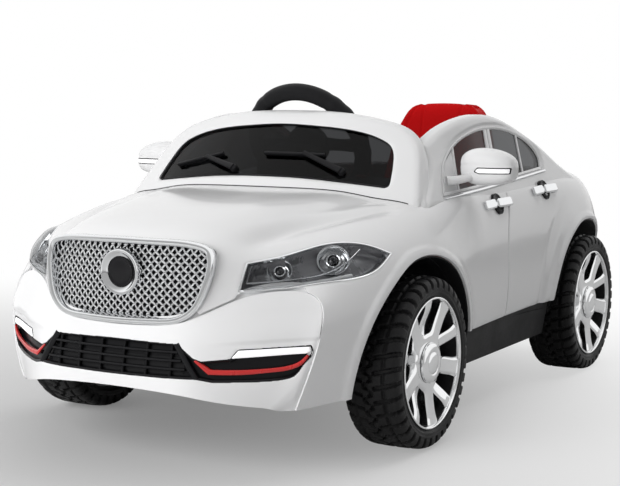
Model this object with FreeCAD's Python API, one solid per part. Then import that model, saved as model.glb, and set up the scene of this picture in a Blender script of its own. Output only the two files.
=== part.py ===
import FreeCAD, Part
import math
import os

# Electric ride-on car for a child: moulded white body on a black chassis tub, steered front
# wheels, two geared motors at the rear wheels.
# Millimetres. +Z is up, the car faces -Y and its left side is +X. The origin is on the ground,
# in the middle of the car.

# Driving dimensions
WHEELBASE = 693.0
TRACK = 570.0
TYRE_DIAMETER = 250.0
TYRE_WIDTH = 82.0
RIM_DIAMETER = 190.6
BODY_WIDTH = 670.0
BODY_WALL = 4.0
BUMPER_WALL = 6.0
ARCH_GAP = 30.0
SHUT_LINE = 3.0
FLOOR_HEIGHT = 87.0
TUB_WALL = 4.0
SILL_TOP = 150.0
DECK_HEIGHT = 162.0

# Clearances
RUNNING_FIT = 0.05
SEAT_GAP = 0.3

# Wheels
RIM_WALL = 6.0
RIM_LIP = 3.0
SPOKES = 5
SPOKE_WIDTH = 25.0
THIN_SPOKE_WIDTH = 14.0
SPOKE_THICKNESS = 9.0
HUB_RADIUS = 40.0
CAP_RADIUS = 29.5
CAP_BUTTON_RADIUS = 16.0
CAP_HEIGHT = 9.0
AXLE_RADIUS = 6.0
AXLE_SHARE = 0.36
TYRE_WALL = 13.0
TREAD_LUGS = 30
LUG_GROOVE = 7.0
LUG_DEPTH = 5.0

# Steering
KINGPIN_INSET = 59.0
KNUCKLE_RADIUS = 13.0
KNUCKLE_HEIGHT = 50.0
EAR_THICKNESS = 8.0
STEER_ARM = 55.0
CRANK_ARM = 30.0
LINK_PIN_RADIUS = 4.0
ARM_SLACK = 4.2
CRANK_SLACK = 8.4
SIDE_SLACK = 0.9
STEERING_RADIUS = 97.0
STEERING_GRIP = 11.0
STEERING_TILT = 27.0
COLUMN_RADIUS = 10.0
HORN_RADIUS = 26.0
HORN_TRAVEL = 3.0

# Controls
BUTTON_RADIUS = 9.0
BUTTON_TRAVEL = 3.0
PEDAL_WIDTH = 56.0
PEDAL_LENGTH = 92.0
PEDAL_PIN_RADIUS = 4.0
LEVER_PIN_RADIUS = 4.0

# Sizes at which the control nets and outlines below were drawn
NET_WHEELBASE = 693.0
NET_WIDTH = 670.0
NET_FRONT_AXLE = -284.0

NET_REAR_AXLE = NET_FRONT_AXLE + NET_WHEELBASE
FRONT_AXLE = NET_FRONT_AXLE - (WHEELBASE - NET_WHEELBASE) / 2
REAR_AXLE = FRONT_AXLE + WHEELBASE
AXLE_HEIGHT = TYRE_DIAMETER / 2
ARCH_RADIUS = TYRE_DIAMETER / 2 + ARCH_GAP
WELL_OUTER = ARCH_RADIUS - 1.5
WELL_WALL = 3.0
WHEEL_X = TRACK / 2
KINGPIN_X = WHEEL_X - KINGPIN_INSET
PAN_FRONT = FRONT_AXLE + ARCH_RADIUS + 3.0
PAN_REAR = REAR_AXLE - ARCH_RADIUS - 3.0

X_AXIS = FreeCAD.Vector(1, 0, 0)
Y_AXIS = FreeCAD.Vector(0, 1, 0)
Z_AXIS = FreeCAD.Vector(0, 0, 1)
ORIGIN = FreeCAD.Vector(0, 0, 0)


def across(x):
    """Drawn X to real X: follows the body width."""
    return x * BODY_WIDTH / NET_WIDTH


def along(y):
    """Drawn Y to real Y: follows the wheelbase between the axles and an axle beyond it."""
    if y < NET_FRONT_AXLE:
        return y - NET_FRONT_AXLE + FRONT_AXLE
    if y > NET_REAR_AXLE:
        return y - NET_REAR_AXLE + REAR_AXLE
    return FRONT_AXLE + (y - NET_FRONT_AXLE) * WHEELBASE / NET_WHEELBASE


def at(x, y, z):
    return FreeCAD.Vector(across(x), along(y), z)


def box(x0, x1, y0, y1, z0, z1):
    return Part.makeBox(x1 - x0, y1 - y0, z1 - z0, FreeCAD.Vector(x0, y0, z0))


def rod(start, direction, radius, length):
    return Part.makeCylinder(radius, length, start, direction)


def fuse(shapes):
    return shapes[0].multiFuse(shapes[1:]).removeSplitter()


def mirrored(shape):
    return shape.mirror(ORIGIN, X_AXIS)


def both_sides(shape):
    return [shape, mirrored(shape)]


def largest(shape):
    return max(shape.Solids, key=lambda solid: solid.Volume)


def outline_wire(runs):
    """Closed wire of runs that share their end points: two points make a line, more a curve."""
    edges = []
    for run in runs:
        if len(run) == 2:
            edges.append(Part.makeLine(run[0], run[1]))
        else:
            curve = Part.BSplineCurve()
            curve.interpolate(run)
            edges.append(curve.toShape())
    return Part.Wire(edges)


def prism(runs, push):
    """Solid swept by a flat outline along the vector push."""
    return Part.Face(outline_wire(runs)).extrude(push)


def side_prism(runs, x0, x1):
    """Prism along X of an outline of drawn (y, z) points."""
    placed = [[FreeCAD.Vector(x0, along(y), z) for y, z in run] for run in runs]
    return prism(placed, X_AXIS * (x1 - x0))


def front_prism(runs, y0, y1):
    """Prism along Y of an outline of drawn (x, z) points."""
    placed = [[FreeCAD.Vector(across(x), y0, z) for x, z in run] for run in runs]
    return prism(placed, Y_AXIS * (y1 - y0))


def plan_prism(runs, z0, z1):
    """Prism along Z of an outline of drawn (x, y) points."""
    placed = [[FreeCAD.Vector(across(x), along(y), z0) for x, y in run] for run in runs]
    return prism(placed, Z_AXIS * (z1 - z0))


def polygon(points):
    """Runs of straight lines through the points and back to the first."""
    return [[points[i], points[(i + 1) % len(points)]] for i in range(len(points))]


def symmetric(run):
    """A run from the middle outwards, continued from its mirror image."""
    return [(-x, z) for x, z in reversed(run[1:])] + run


# Body surface: half of a cubic control net, rows from the nose to the tail, columns from the
# middle line over the shoulder down to the lower edge.
BODY_NET = [
    [(0, -598, 203), (60, -597, 204), (114, -588, 210), (165, -543, 246), (225, -500, 255),
     (266, -486, 240), (268, -502, 195), (258, -510, 150), (246, -516, 115), (236, -516, 90)],
    [(0, -594, 258), (62, -592, 258), (122, -578, 262), (162, -542, 272), (218, -494, 285),
     (282, -446, 265), (294, -440, 205), (288, -446, 160), (280, -450, 125), (272, -448, 96)],
    [(0, -582, 316), (64, -578, 315), (126, -563, 310), (164, -535, 296), (220, -462, 306),
     (292, -405, 294), (316, -392, 238), (314, -392, 180), (306, -392, 130), (296, -392, 98)],
    [(0, -515, 340), (70, -511, 339), (130, -498, 333), (174, -470, 306), (230, -402, 322),
     (296, -345, 304), (330, -338, 248), (331, -338, 182), (322, -338, 130), (312, -338, 98)],
    [(0, -415, 354), (78, -412, 354), (138, -402, 350), (186, -385, 326), (242, -330, 334),
     (302, -290, 311), (335, -284, 257), (335, -284, 187), (326, -284, 130), (316, -284, 98)],
    [(0, -315, 363), (84, -312, 363), (146, -304, 360), (196, -290, 341), (248, -262, 345),
     (302, -232, 320), (332, -225, 264), (332, -225, 192), (324, -225, 132), (315, -225, 98)],
    [(0, -228, 368), (88, -225, 367), (154, -218, 364), (206, -208, 355), (250, -195, 350),
     (296, -175, 325), (324, -165, 268), (325, -165, 197), (320, -165, 142), (313, -165, 112)],
    [(0, -120, 370), (88, -120, 369), (154, -120, 366), (207, -120, 361), (262, -120, 356),
     (294, -110, 344), (315, -105, 275), (319, -105, 203), (317, -105, 155), (313, -105, 128)],
    [(0, 0, 374), (88, 0, 373), (154, 0, 368), (207, 0, 364), (261, 0, 360),
     (289, 0, 350), (307, 0, 284), (313, 0, 212), (312, 0, 162), (307, 0, 140)],
    [(0, 150, 376), (88, 150, 374), (154, 150, 370), (206, 150, 367), (259, 150, 364),
     (287, 150, 354), (303, 150, 288), (309, 150, 217), (308, 150, 165), (303, 150, 140)],
    [(0, 280, 378), (88, 280, 376), (152, 280, 372), (204, 280, 370), (258, 280, 367),
     (287, 280, 356), (306, 280, 293), (312, 280, 218), (309, 280, 160), (302, 280, 130)],
    [(0, 409, 380), (86, 409, 378), (150, 409, 375), (200, 409, 373), (254, 409, 370),
     (290, 405, 357), (322, 405, 294), (328, 405, 222), (322, 405, 160), (311, 405, 118)],
    [(0, 505, 376), (84, 504, 374), (146, 503, 371), (196, 500, 369), (248, 498, 365),
     (285, 494, 350), (312, 490, 288), (318, 490, 217), (311, 490, 160), (300, 490, 110)],
    [(0, 585, 364), (80, 583, 363), (140, 580, 360), (184, 576, 357), (224, 566, 352),
     (260, 552, 333), (283, 546, 277), (288, 546, 212), (281, 546, 160), (271, 546, 108)],
    [(0, 612, 338), (74, 611, 337), (128, 609, 335), (168, 606, 332), (204, 598, 325),
     (232, 586, 307), (246, 580, 267), (250, 580, 211), (245, 580, 160), (238, 580, 108)],
]

# Bumper surfaces: rows below the shut line, from the body's end row down to the lower edge.
FRONT_ROWS = [
    [(0, -604, 186), (58, -603, 186), (113, -596, 188), (164, -561, 214), (216, -524, 220),
     (251, -504, 205), (258, -511, 176), (250, -515, 138), (240, -518, 109), (230, -518, 90)],
    [(0, -609, 165), (57, -608, 165), (112, -601, 166), (162, -574, 176), (210, -541, 176),
     (241, -519, 170), (249, -518, 150), (244, -519, 125), (235, -521, 103), (226, -521, 90)],
    [(0, -613, 142), (57, -612, 142), (113, -607, 141), (160, -583, 140), (204, -551, 140),
     (233, -527, 138), (241, -523, 130), (238, -522, 113), (231, -523, 99), (222, -524, 90)],
    [(0, -613, 119), (58, -612.5, 118), (116, -609, 115), (152, -590, 106), (187, -562, 99),
     (205, -545, 96), (211, -540, 94), (214, -536, 92), (216, -532, 91), (218, -528, 90)],
]
REAR_ROWS = [
    [(0, 616, 300), (72, 615, 300), (126, 613, 298), (164, 610, 296), (198, 603, 290),
     (224, 593, 275), (236, 588, 243), (238, 587, 198), (234, 585, 154), (231, 583, 108)],
    [(0, 612, 245), (70, 611, 245), (122, 609, 243), (159, 606, 241), (190, 602, 236),
     (214, 594, 224), (228, 590, 205), (231, 588, 175), (230, 586, 144), (227, 585, 107.6)],
    [(0, 617, 185), (66, 616, 185), (117, 614, 184), (154, 611, 182), (185, 605, 178),
     (209, 597, 171), (222, 592, 160), (226, 590, 145), (226, 588, 128), (223, 587, 107.3)],
    [(0, 610, 130), (62, 610, 130), (112, 608, 129), (150, 604, 128), (180, 599, 126),
     (202, 593, 123), (214, 590, 120), (219, 589, 117), (221, 588, 113), (219, 588, 107)],
    [(0, 598, 105), (60, 598, 105), (110, 596, 105), (150, 594, 105), (176, 592, 105),
     (192, 591, 105), (202, 590, 105), (208, 590, 105.4), (212, 589, 106), (215, 589, 106.7)],
]


def shut_row(row, inward):
    """A body end row set back by the shut line: down under the top edge, in beside the flanks."""
    drop = [(x, y + inward, z - SHUT_LINE) for x, y, z in row[:5]]
    inset = [(x - SHUT_LINE, y + inward, z) for x, y, z in row[5:]]
    return drop + inset


FRONT_BUMPER_NET = [shut_row(BODY_NET[0], 1.0)] + FRONT_ROWS
REAR_BUMPER_NET = [shut_row(BODY_NET[-1], -1.0)] + REAR_ROWS


def full_net(half):
    """Both halves of a net as real points, from the right lower edge to the left one."""
    rows = []
    for row in half:
        right = [at(-x, y, z) for x, y, z in reversed(row[1:])]
        rows.append(right + [at(x, y, z) for x, y, z in row])
    return rows


def offset_net(net, depth):
    """Every point of a net moved inwards by depth along the net's own normal."""
    moved = []
    last_row = len(net) - 1
    last_column = len(net[0]) - 1
    for i, row in enumerate(net):
        line = []
        for j, point in enumerate(row):
            lengthwise = net[min(i + 1, last_row)][j] - net[max(i - 1, 0)][j]
            crosswise = row[min(j + 1, last_column)] - row[max(j - 1, 0)]
            normal = lengthwise.cross(crosswise)
            normal.normalize()
            line.append(point + normal * depth)
        moved.append(line)
    return moved


def net_surface(net):
    """Clamped uniform cubic surface of a control net."""
    surface = Part.BSplineSurface()
    spans_u = len(net) - 3
    spans_v = len(net[0]) - 3
    mults_u = [4] + [1] * (spans_u - 1) + [4]
    mults_v = [4] + [1] * (spans_v - 1) + [4]
    knots_u = [i / spans_u for i in range(spans_u + 1)]
    knots_v = [i / spans_v for i in range(spans_v + 1)]
    surface.buildFromPolesMultsKnots(net, mults_u, mults_v, knots_u, knots_v, False, False, 3, 3)
    return surface


def moulded_shell(net, wall):
    """Closed wall between a net's surface and its inward offset."""
    outer = net_surface(net)
    inner = net_surface(offset_net(net, wall))
    faces = [outer.toShape(), inner.toShape()]
    for end in (0.0, 1.0):
        faces.append(Part.makeRuledSurface(outer.uIso(end).toShape(), inner.uIso(end).toShape()))
        faces.append(Part.makeRuledSurface(outer.vIso(end).toShape(), inner.vIso(end).toShape()))
    shell = Part.Shell(faces)
    shell.sewShape()
    solid = Part.Solid(shell)
    if solid.Volume < 0:
        solid.reverse()
    return solid


def bowed_sheet(heights, bow, half_width, z0, z1):
    """Face y = h(z) + bow x^2, where h is the parabola with the three Bezier heights given."""
    poles = []
    for x, lift in ((-half_width, 1), (0, -1), (half_width, 1)):
        row = []
        for z, height in zip((z0, (z0 + z1) / 2, z1), heights):
            row.append(at(x, height + lift * bow * half_width ** 2, z))
        poles.append(row)
    surface = Part.BSplineSurface()
    surface.buildFromPolesMultsKnots(poles, [3, 3], [3, 3], [0, 1], [0, 1], False, False, 2, 2)
    return surface.toShape()


def leaning_sheet(offsets, y0, y1, z0, z1):
    """Face whose X follows a parabola over the height, from the three Bezier offsets given."""
    poles = []
    for y in (y0, (y0 + y1) / 2, y1):
        poles.append([at(x, y, z) for x, z in zip(offsets, (z0, (z0 + z1) / 2, z1))])
    surface = Part.BSplineSurface()
    surface.buildFromPolesMultsKnots(poles, [3, 3], [3, 3], [0, 1], [0, 1], False, False, 2, 2)
    return surface.toShape()


def towards_middle(points, step):
    """Points of an outline moved towards their mean by a step."""
    middle = ORIGIN
    for point in points:
        middle = middle + point
    middle = middle / len(points)
    return [point + (middle - point).normalize() * step for point in points]


PARTS = {}

# Body
COCKPIT_CORNER = 45.0
COCKPIT_HALF_WIDTH = 232.0
COCKPIT_FRONT = -165.0
COCKPIT_REAR = 474.0
HEADLIGHT_AXIS = FreeCAD.Vector(0.42, -0.72, 0.55).normalize()
HEADLIGHT_POINTS = [(164, -544, 248), (167.6, -529, 285.5), (206, -485, 295), (236, -431, 306),
                    (271, -386, 303), (297.5, -358, 289), (295, -403, 268), (273, -451, 260),
                    (214, -509, 251)]
LENS_WALL = 3.0
HEADLIGHT_DEPTH = 18.0
TRAY_WALL = 2.5
PROJECTORS = [((203, -503, 279), 13.0), ((252, -443, 290), 17.0)]
BULB_SHARE = 0.7
BULB_DROP = 1.5
GRILLE_HALF = [(0, 313), (70, 312), (116, 308), (131, 301), (135, 288), (130, 255), (117, 226),
               (100, 213), (60, 207), (0, 206)]


def headlight_prism(step):
    """Prism along the lamp's own axis of its outline, drawn in by a step."""
    points = towards_middle([at(x, y, z) for x, y, z in HEADLIGHT_POINTS], step)
    start = points[0] + HEADLIGHT_AXIS * 90
    flat = [point - HEADLIGHT_AXIS * (point - start).dot(HEADLIGHT_AXIS) for point in points]
    return prism([flat[:2], flat[1:6], flat[5:] + flat[:1]], HEADLIGHT_AXIS * -180)


def cockpit_prism():
    half, front, rear = COCKPIT_HALF_WIDTH, COCKPIT_FRONT, COCKPIT_REAR
    opening = plan_prism(polygon([(-half, front), (half, front), (half, rear), (-half, rear)]), 300, 430)
    upright = [edge for edge in opening.Edges if abs(edge.tangentAt(edge.FirstParameter).z) > 0.9]
    return opening.makeFillet(COCKPIT_CORNER, upright)


def arch_cut(axle_y):
    return rod(FreeCAD.Vector(-BODY_WIDTH, axle_y, AXLE_HEIGHT), X_AXIS, ARCH_RADIUS, 2 * BODY_WIDTH)


def grille_prism(step, y0, y1):
    """Prism through the nose of the grille's outline, drawn in by a step."""
    middle_z = (GRILLE_HALF[0][1] + GRILLE_HALF[-1][1]) / 2
    half = []
    for x, z in GRILLE_HALF:
        reach = math.hypot(x, z - middle_z)
        shrink = 1 - step / reach
        half.append((x * shrink, middle_z + (z - middle_z) * shrink))
    mirror_half = [(-x, z) for x, z in reversed(half)]
    return front_prism([half, mirror_half], along(y0), along(y1))


body_net = full_net(BODY_NET)
body_face = net_surface(body_net).toShape()
body_cuts = [cockpit_prism(), arch_cut(FRONT_AXLE), arch_cut(REAR_AXLE), grille_prism(0.0, -660, -520)]
body_cuts += both_sides(headlight_prism(0.0))
body_blank = moulded_shell(body_net, BODY_WALL)
body_shell = body_blank.cut(body_cuts)
PARTS["body_shell"] = body_shell


def flank_x(y, z):
    """X of the body's left flank at a drawn station and height."""
    probe = Part.makeLine(FreeCAD.Vector(across(200), along(y), z), FreeCAD.Vector(BODY_WIDTH, along(y), z))
    return max(pair[0].x for pair in probe.distToShape(body_face)[1])


# Headlights
lens_face = body_face.common(headlight_prism(SEAT_GAP))
headlight_lens = lens_face.Faces[0].extrude(HEADLIGHT_AXIS * -LENS_WALL)
tray_top = HEADLIGHT_AXIS * -(LENS_WALL + SEAT_GAP)
tray_block = lens_face.Faces[0].translated(tray_top).extrude(HEADLIGHT_AXIS * -HEADLIGHT_DEPTH)
hollow_face = body_face.common(headlight_prism(SEAT_GAP + TRAY_WALL)).Faces[0].translated(tray_top)
tray_hollow = hollow_face.extrude(HEADLIGHT_AXIS * (TRAY_WALL - HEADLIGHT_DEPTH))
headlight_housing = tray_block.cut(tray_hollow)
projectors = []
for (x, y, z), radius in PROJECTORS:
    foot = at(x, y, z) - HEADLIGHT_AXIS * (HEADLIGHT_DEPTH + LENS_WALL)
    lamp = rod(foot, HEADLIGHT_AXIS, radius, HEADLIGHT_DEPTH - TRAY_WALL)
    bulb = radius * BULB_SHARE
    crown = foot + HEADLIGHT_AXIS * (HEADLIGHT_DEPTH - bulb - TRAY_WALL - BULB_DROP)
    lamp = lamp.fuse(Part.makeSphere(bulb, crown))
    projectors += both_sides(lamp.common(tray_hollow).removeSplitter())
for side, turn in (("left", lambda s: s), ("right", mirrored)):
    PARTS["headlight_lens_" + side] = turn(headlight_lens)
    PARTS["headlight_housing_" + side] = turn(headlight_housing)
PARTS["headlight_projectors"] = Part.makeCompound(projectors)

# Grille
GRILLE_BOW = 0.00118
GRILLE_HEIGHTS = (-598.0, -598.0, -582.0)
GRILLE_Z = (203.0, 316.0)
GRILLE_FRAME = 8.0
GRILLE_PROUD = 3.0
GRILLE_DEPTH = 12.0
MESH_RECESS = 4.0
MESH_DEPTH = 4.0
MESH_PITCH = 13.5
MESH_BAR = 3.4
BADGE_RISE = 8.5
BADGE_FRONT = -598.0
BADGE_RADIUS = 31.0
BADGE_RING = 9.0


badge_z = (GRILLE_HALF[0][1] + GRILLE_HALF[-1][1]) / 2 + BADGE_RISE


def grille_layer(front, depth):
    """Bowed slab that follows the nose, from a depth behind it."""
    sheet = bowed_sheet(GRILLE_HEIGHTS, GRILLE_BOW, 145.0, *GRILLE_Z)
    return sheet.translated(Y_AXIS * front).extrude(Y_AXIS * depth)


def diamond(x, z, reach):
    corners = [(x, z - reach), (x + reach, z), (x, z + reach), (x - reach, z)]
    return Part.makePolygon([FreeCAD.Vector(across(u), along(-640), w) for u, w in corners + corners[:1]])


def mesh_holes():
    """Rows of diamonds, every other row shifted by half a pitch."""
    half = MESH_PITCH / 2
    reach = half - MESH_BAR * 0.7071
    low, high = GRILLE_Z
    inside = grille_prism(GRILLE_FRAME + MESH_PITCH * 0.55, -660, -520)
    rows = int((high - low) / half)
    columns = int(145.0 / MESH_PITCH)
    holes = []
    for i in range(rows + 1):
        z = low + i * half
        shift = half if i % 2 else 0.0
        for j in range(-columns - 1, columns + 1):
            x = j * MESH_PITCH + shift
            clear_badge = math.hypot(x, z - badge_z) > BADGE_RADIUS + half
            if clear_badge and inside.isInside(FreeCAD.Vector(across(x), along(-600), z), 0.01, False):
                holes.append(Part.Face(diamond(x, z, reach)).extrude(Y_AXIS * 90))
    return holes


ring = grille_prism(SEAT_GAP, -660, -520).cut(grille_prism(GRILLE_FRAME, -661, -519))
PARTS["grille_surround"] = grille_layer(-GRILLE_PROUD, GRILLE_DEPTH).common(ring)
mesh_plate = grille_layer(MESH_RECESS, MESH_DEPTH).common(grille_prism(GRILLE_FRAME + SEAT_GAP, -660, -520))
PARTS["grille_mesh"] = mesh_plate.cut(Part.makeCompound(mesh_holes()))
badge_seat = FreeCAD.Vector(0, along(BADGE_FRONT), badge_z)
badge = rod(badge_seat, Y_AXIS, BADGE_RADIUS, 30)
badge = badge.cut(rod(badge_seat, Y_AXIS, BADGE_RADIUS - BADGE_RING, 3.0))
badge = badge.cut(grille_layer(MESH_RECESS - SEAT_GAP, 60))
PARTS["grille_badge"] = largest(badge)

# Front bumper
LOWER_MOUTH = [[(0, 182), (101, 180)], [(101, 180), (124, 162)], [(124, 162), (134, 158.7)],
               [(134, 158.7), (168, 162)], [(168, 162), (175, 174)], [(175, 174), (255, 178.5)],
               [(255, 178.5), (257, 172), (249, 155), (238, 139), (221, 133.5), (190, 132)],
               [(190, 132), (150, 132)], [(150, 132), (130, 136)], [(130, 136), (0, 135)]]
FOG_STRIP = [(169, 163), (176, 173.2), (253.5, 177.2), (255, 172), (250, 168.5)]
RED_STRIP = [(128, 161), (147, 148.5), (188, 148), (212, 149.5), (233, 153), (245, 159.5), (251, 166.5),
             (253, 164.5), (247, 155), (234, 147.5), (212, 144), (188, 142), (145, 142.5), (126, 159.5)]
MOUTH_RECESS = 3.0
MOUTH_PLATE = 5.0
SLOT_ROWS = (142.0, 153.0, 164.0, 175.0)
SLOT_HEIGHT = 6.5
SLOT_COLUMNS = 5
SLOT_SPAN = 186.0
SLOT_POST = 5.0
STRIP_PROUD = 0.8


def mirrored_runs(runs):
    back = [[(-x, z) for x, z in reversed(run)] for run in reversed(runs)]
    return runs + back


def bumper_layer(front, depth):
    """Slab that follows the front bumper, from a depth behind its skin."""
    return bumper_face.translated(Y_AXIS * front).extrude(Y_AXIS * depth)


def through_nose(runs):
    return front_prism(runs, along(-680), along(-440))


bumper_face = net_surface(full_net(FRONT_BUMPER_NET)).toShape()
mouth = through_nose(mirrored_runs(LOWER_MOUTH))
front_bumper = largest(bumper_layer(0, BUMPER_WALL).cut([mouth, body_blank] + both_sides(tray_block)))
PARTS["front_bumper"] = front_bumper
slots = []
slot_step = SLOT_SPAN / SLOT_COLUMNS
for z in SLOT_ROWS:
    for i in range(SLOT_COLUMNS):
        x = -SLOT_SPAN / 2 + i * slot_step
        runs = polygon([(x, z - SLOT_HEIGHT / 2), (x + slot_step - SLOT_POST, z - SLOT_HEIGHT / 2),
                        (x + slot_step - SLOT_POST, z + SLOT_HEIGHT / 2), (x, z + SLOT_HEIGHT / 2)])
        slots.append(through_nose(runs))
mouth_plate = bumper_layer(MOUTH_RECESS, MOUTH_PLATE).common(mouth)
PARTS["lower_grille"] = mouth_plate.cut(Part.makeCompound(slots))
strip_layer = bumper_layer(-STRIP_PROUD, MOUTH_RECESS + STRIP_PROUD - SEAT_GAP).common(mouth)
fog_strip = strip_layer.common(through_nose(polygon(FOG_STRIP)))
red_strip = strip_layer.common(through_nose(polygon(RED_STRIP)))
PARTS["fog_strips"] = Part.makeCompound(both_sides(fog_strip))
PARTS["bumper_red_trim"] = Part.makeCompound(both_sides(red_strip))

# Rear panel with its lamps
TAIL_LAMP = [(118, 268), (124, 306), (205, 301), (221, 276), (214, 258)]
TAIL_WALL = 9.0
rear_face = net_surface(full_net(REAR_BUMPER_NET)).toShape()
tail_prism = front_prism(polygon(TAIL_LAMP), along(500), along(680))
rear_bumper = largest(rear_face.extrude(Y_AXIS * -BUMPER_WALL).cut(both_sides(tail_prism) + [body_blank]))
PARTS["rear_bumper"] = rear_bumper
tail_lamp = rear_face.translated(Y_AXIS * 1.5).extrude(Y_AXIS * -TAIL_WALL).common(tail_prism)
PARTS["tail_lamps"] = Part.makeCompound(both_sides(tail_lamp))

# Chassis tub: foot pan with side sills, front and rear decks, wheel wells, bumper arms
PAN_HALF_WIDTH = 286.0
SILL_TOP_X = 303.0
SILL_FOOT_X = 291.0
FRONT_DECK_HALF = 178.0
REAR_DECK_HALF = 200.0
DECK_FRONT = -470.0
DECK_REAR = 560.0
FRONT_WELL_X = 300.0
ARM_HALF_WIDTH = 110.0
ARM_HEIGHT = 22.0
ARM_BASE = 140.0
SCREW_HEAD_RADIUS = 6.0
SCREW_HEAD = 3.0
SCREW_RADIUS = 2.0
SCREW_TIP = 0.5
SCREW_PLACES = [(x, y) for x in (-250, 250) for y in (-90, 60, 210)]
PEDAL_X = -60.0
PEDAL_Y = -30.0
PEDAL_PIN_HEIGHT = 101.0
PEDAL_SLOPE = 30.0
PEDAL_BARREL = 7.5
PEDAL_THICKNESS = 6.0
PEDAL_EAR = 8.0
PEDAL_EAR_DEPTH = 16.0

SHAFT_RADIUS = 8.0
STEERING_CENTRE = at(0, -70, 425)
tilt = math.radians(STEERING_TILT)
STEERING_AXIS = FreeCAD.Vector(0, math.cos(tilt), math.sin(tilt))
COLUMN_LENGTH = 55.0
TIE_BOTTOM = AXLE_HEIGHT - 7.0
TIE_THICKNESS = 6.0
TIE_Y = FRONT_AXLE + STEER_ARM
CRANK_RISE = 25.0
CRANK_SETBACK = 21.0
JOINT_CENTRE = STEERING_CENTRE - STEERING_AXIS * COLUMN_LENGTH
SHAFT_FOOT = FreeCAD.Vector(0, TIE_Y - CRANK_SETBACK, TIE_BOTTOM + TIE_THICKNESS / 2 + CRANK_RISE)
SHAFT_AXIS = (JOINT_CENTRE - SHAFT_FOOT).normalize()
BEARING_RADIUS = 16.0
BEARING_LENGTH = 26.0
BEARING_DROP = 3.0
pan_floor = FLOOR_HEIGHT + TUB_WALL
deck_base = DECK_HEIGHT - TUB_WALL
bearing_mid = SHAFT_FOOT + SHAFT_AXIS * ((deck_base - SHAFT_FOOT.z) / SHAFT_AXIS.z)
pedal_pin = FreeCAD.Vector(across(PEDAL_X), along(PEDAL_Y), PEDAL_PIN_HEIGHT)


def wheel_well(axle_y, inner_x, outer_x):
    """Half tunnel over a left wheel, closed on the inner side above the deck."""
    centre = FreeCAD.Vector(inner_x, axle_y, AXLE_HEIGHT)
    inner_radius = WELL_OUTER - WELL_WALL
    tunnel = rod(centre, X_AXIS, WELL_OUTER, outer_x - inner_x)
    tunnel = tunnel.cut(rod(centre + X_AXIS * WELL_WALL, X_AXIS, inner_radius, outer_x - inner_x))
    front, rear = axle_y - ARCH_RADIUS, axle_y + ARCH_RADIUS
    over_axle = box(inner_x, outer_x, front, rear, deck_base, AXLE_HEIGHT + ARCH_RADIUS)
    legs = box(inner_x + WELL_WALL, outer_x, front, rear, AXLE_HEIGHT, deck_base)
    return tunnel.common(over_axle.fuse(legs))


def pan():
    """Foot pan: sills of sloping section, floor, and end walls up to the decks."""
    pan_front, pan_rear = PAN_FRONT, PAN_REAR
    section = [(-SILL_FOOT_X, FLOOR_HEIGHT), (SILL_FOOT_X, FLOOR_HEIGHT), (SILL_TOP_X, SILL_TOP),
               (-SILL_TOP_X, SILL_TOP)]
    outer = front_prism(polygon(section), pan_front, pan_rear)
    half = across(PAN_HALF_WIDTH)
    hollow = box(-half, half, pan_front + TUB_WALL, pan_rear - TUB_WALL, pan_floor, SILL_TOP)
    front_wall = box(-across(FRONT_DECK_HALF), across(FRONT_DECK_HALF), pan_front, pan_front + TUB_WALL,
                     FLOOR_HEIGHT, DECK_HEIGHT)
    rear_wall = box(-across(REAR_DECK_HALF), across(REAR_DECK_HALF), pan_rear - TUB_WALL, pan_rear,
                    FLOOR_HEIGHT, DECK_HEIGHT)
    return [outer.cut(hollow), front_wall, rear_wall]


def decks():
    front_half, rear_half = across(FRONT_DECK_HALF), across(REAR_DECK_HALF)
    front = box(-front_half, front_half, along(DECK_FRONT), PAN_FRONT + TUB_WALL, deck_base, DECK_HEIGHT)
    rear = box(-rear_half, rear_half, PAN_REAR - TUB_WALL, along(DECK_REAR), deck_base, DECK_HEIGHT)
    return [front, rear]


def bumper_arms():
    """Arms that reach from the decks to the inside of both bumpers."""
    half = across(ARM_HALF_WIDTH)
    top = ARM_BASE + ARM_HEIGHT
    front = box(-half, half, along(-650), along(DECK_FRONT) + TUB_WALL, ARM_BASE, top)
    rear = box(-half, half, along(DECK_REAR) - TUB_WALL, along(660), ARM_BASE, top)
    front = front.cut(bumper_layer(-60, 60 + MOUTH_RECESS + MOUTH_PLATE + SEAT_GAP))
    rear = rear.cut(rear_face.translated(Y_AXIS * 60).extrude(Y_AXIS * -(60 + BUMPER_WALL)))
    return [largest(front), largest(rear)]


def pedal_ears():
    reach = PEDAL_WIDTH / 2 + SEAT_GAP
    ears = []
    for side in (-1, 1):
        x = sorted([pedal_pin.x + side * reach, pedal_pin.x + side * (reach + PEDAL_EAR)])
        ears.append(box(x[0], x[1], pedal_pin.y - PEDAL_EAR_DEPTH / 2, pedal_pin.y + PEDAL_EAR_DEPTH / 2,
                        pan_floor, pedal_pin.z + PEDAL_EAR))
    return ears


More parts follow.
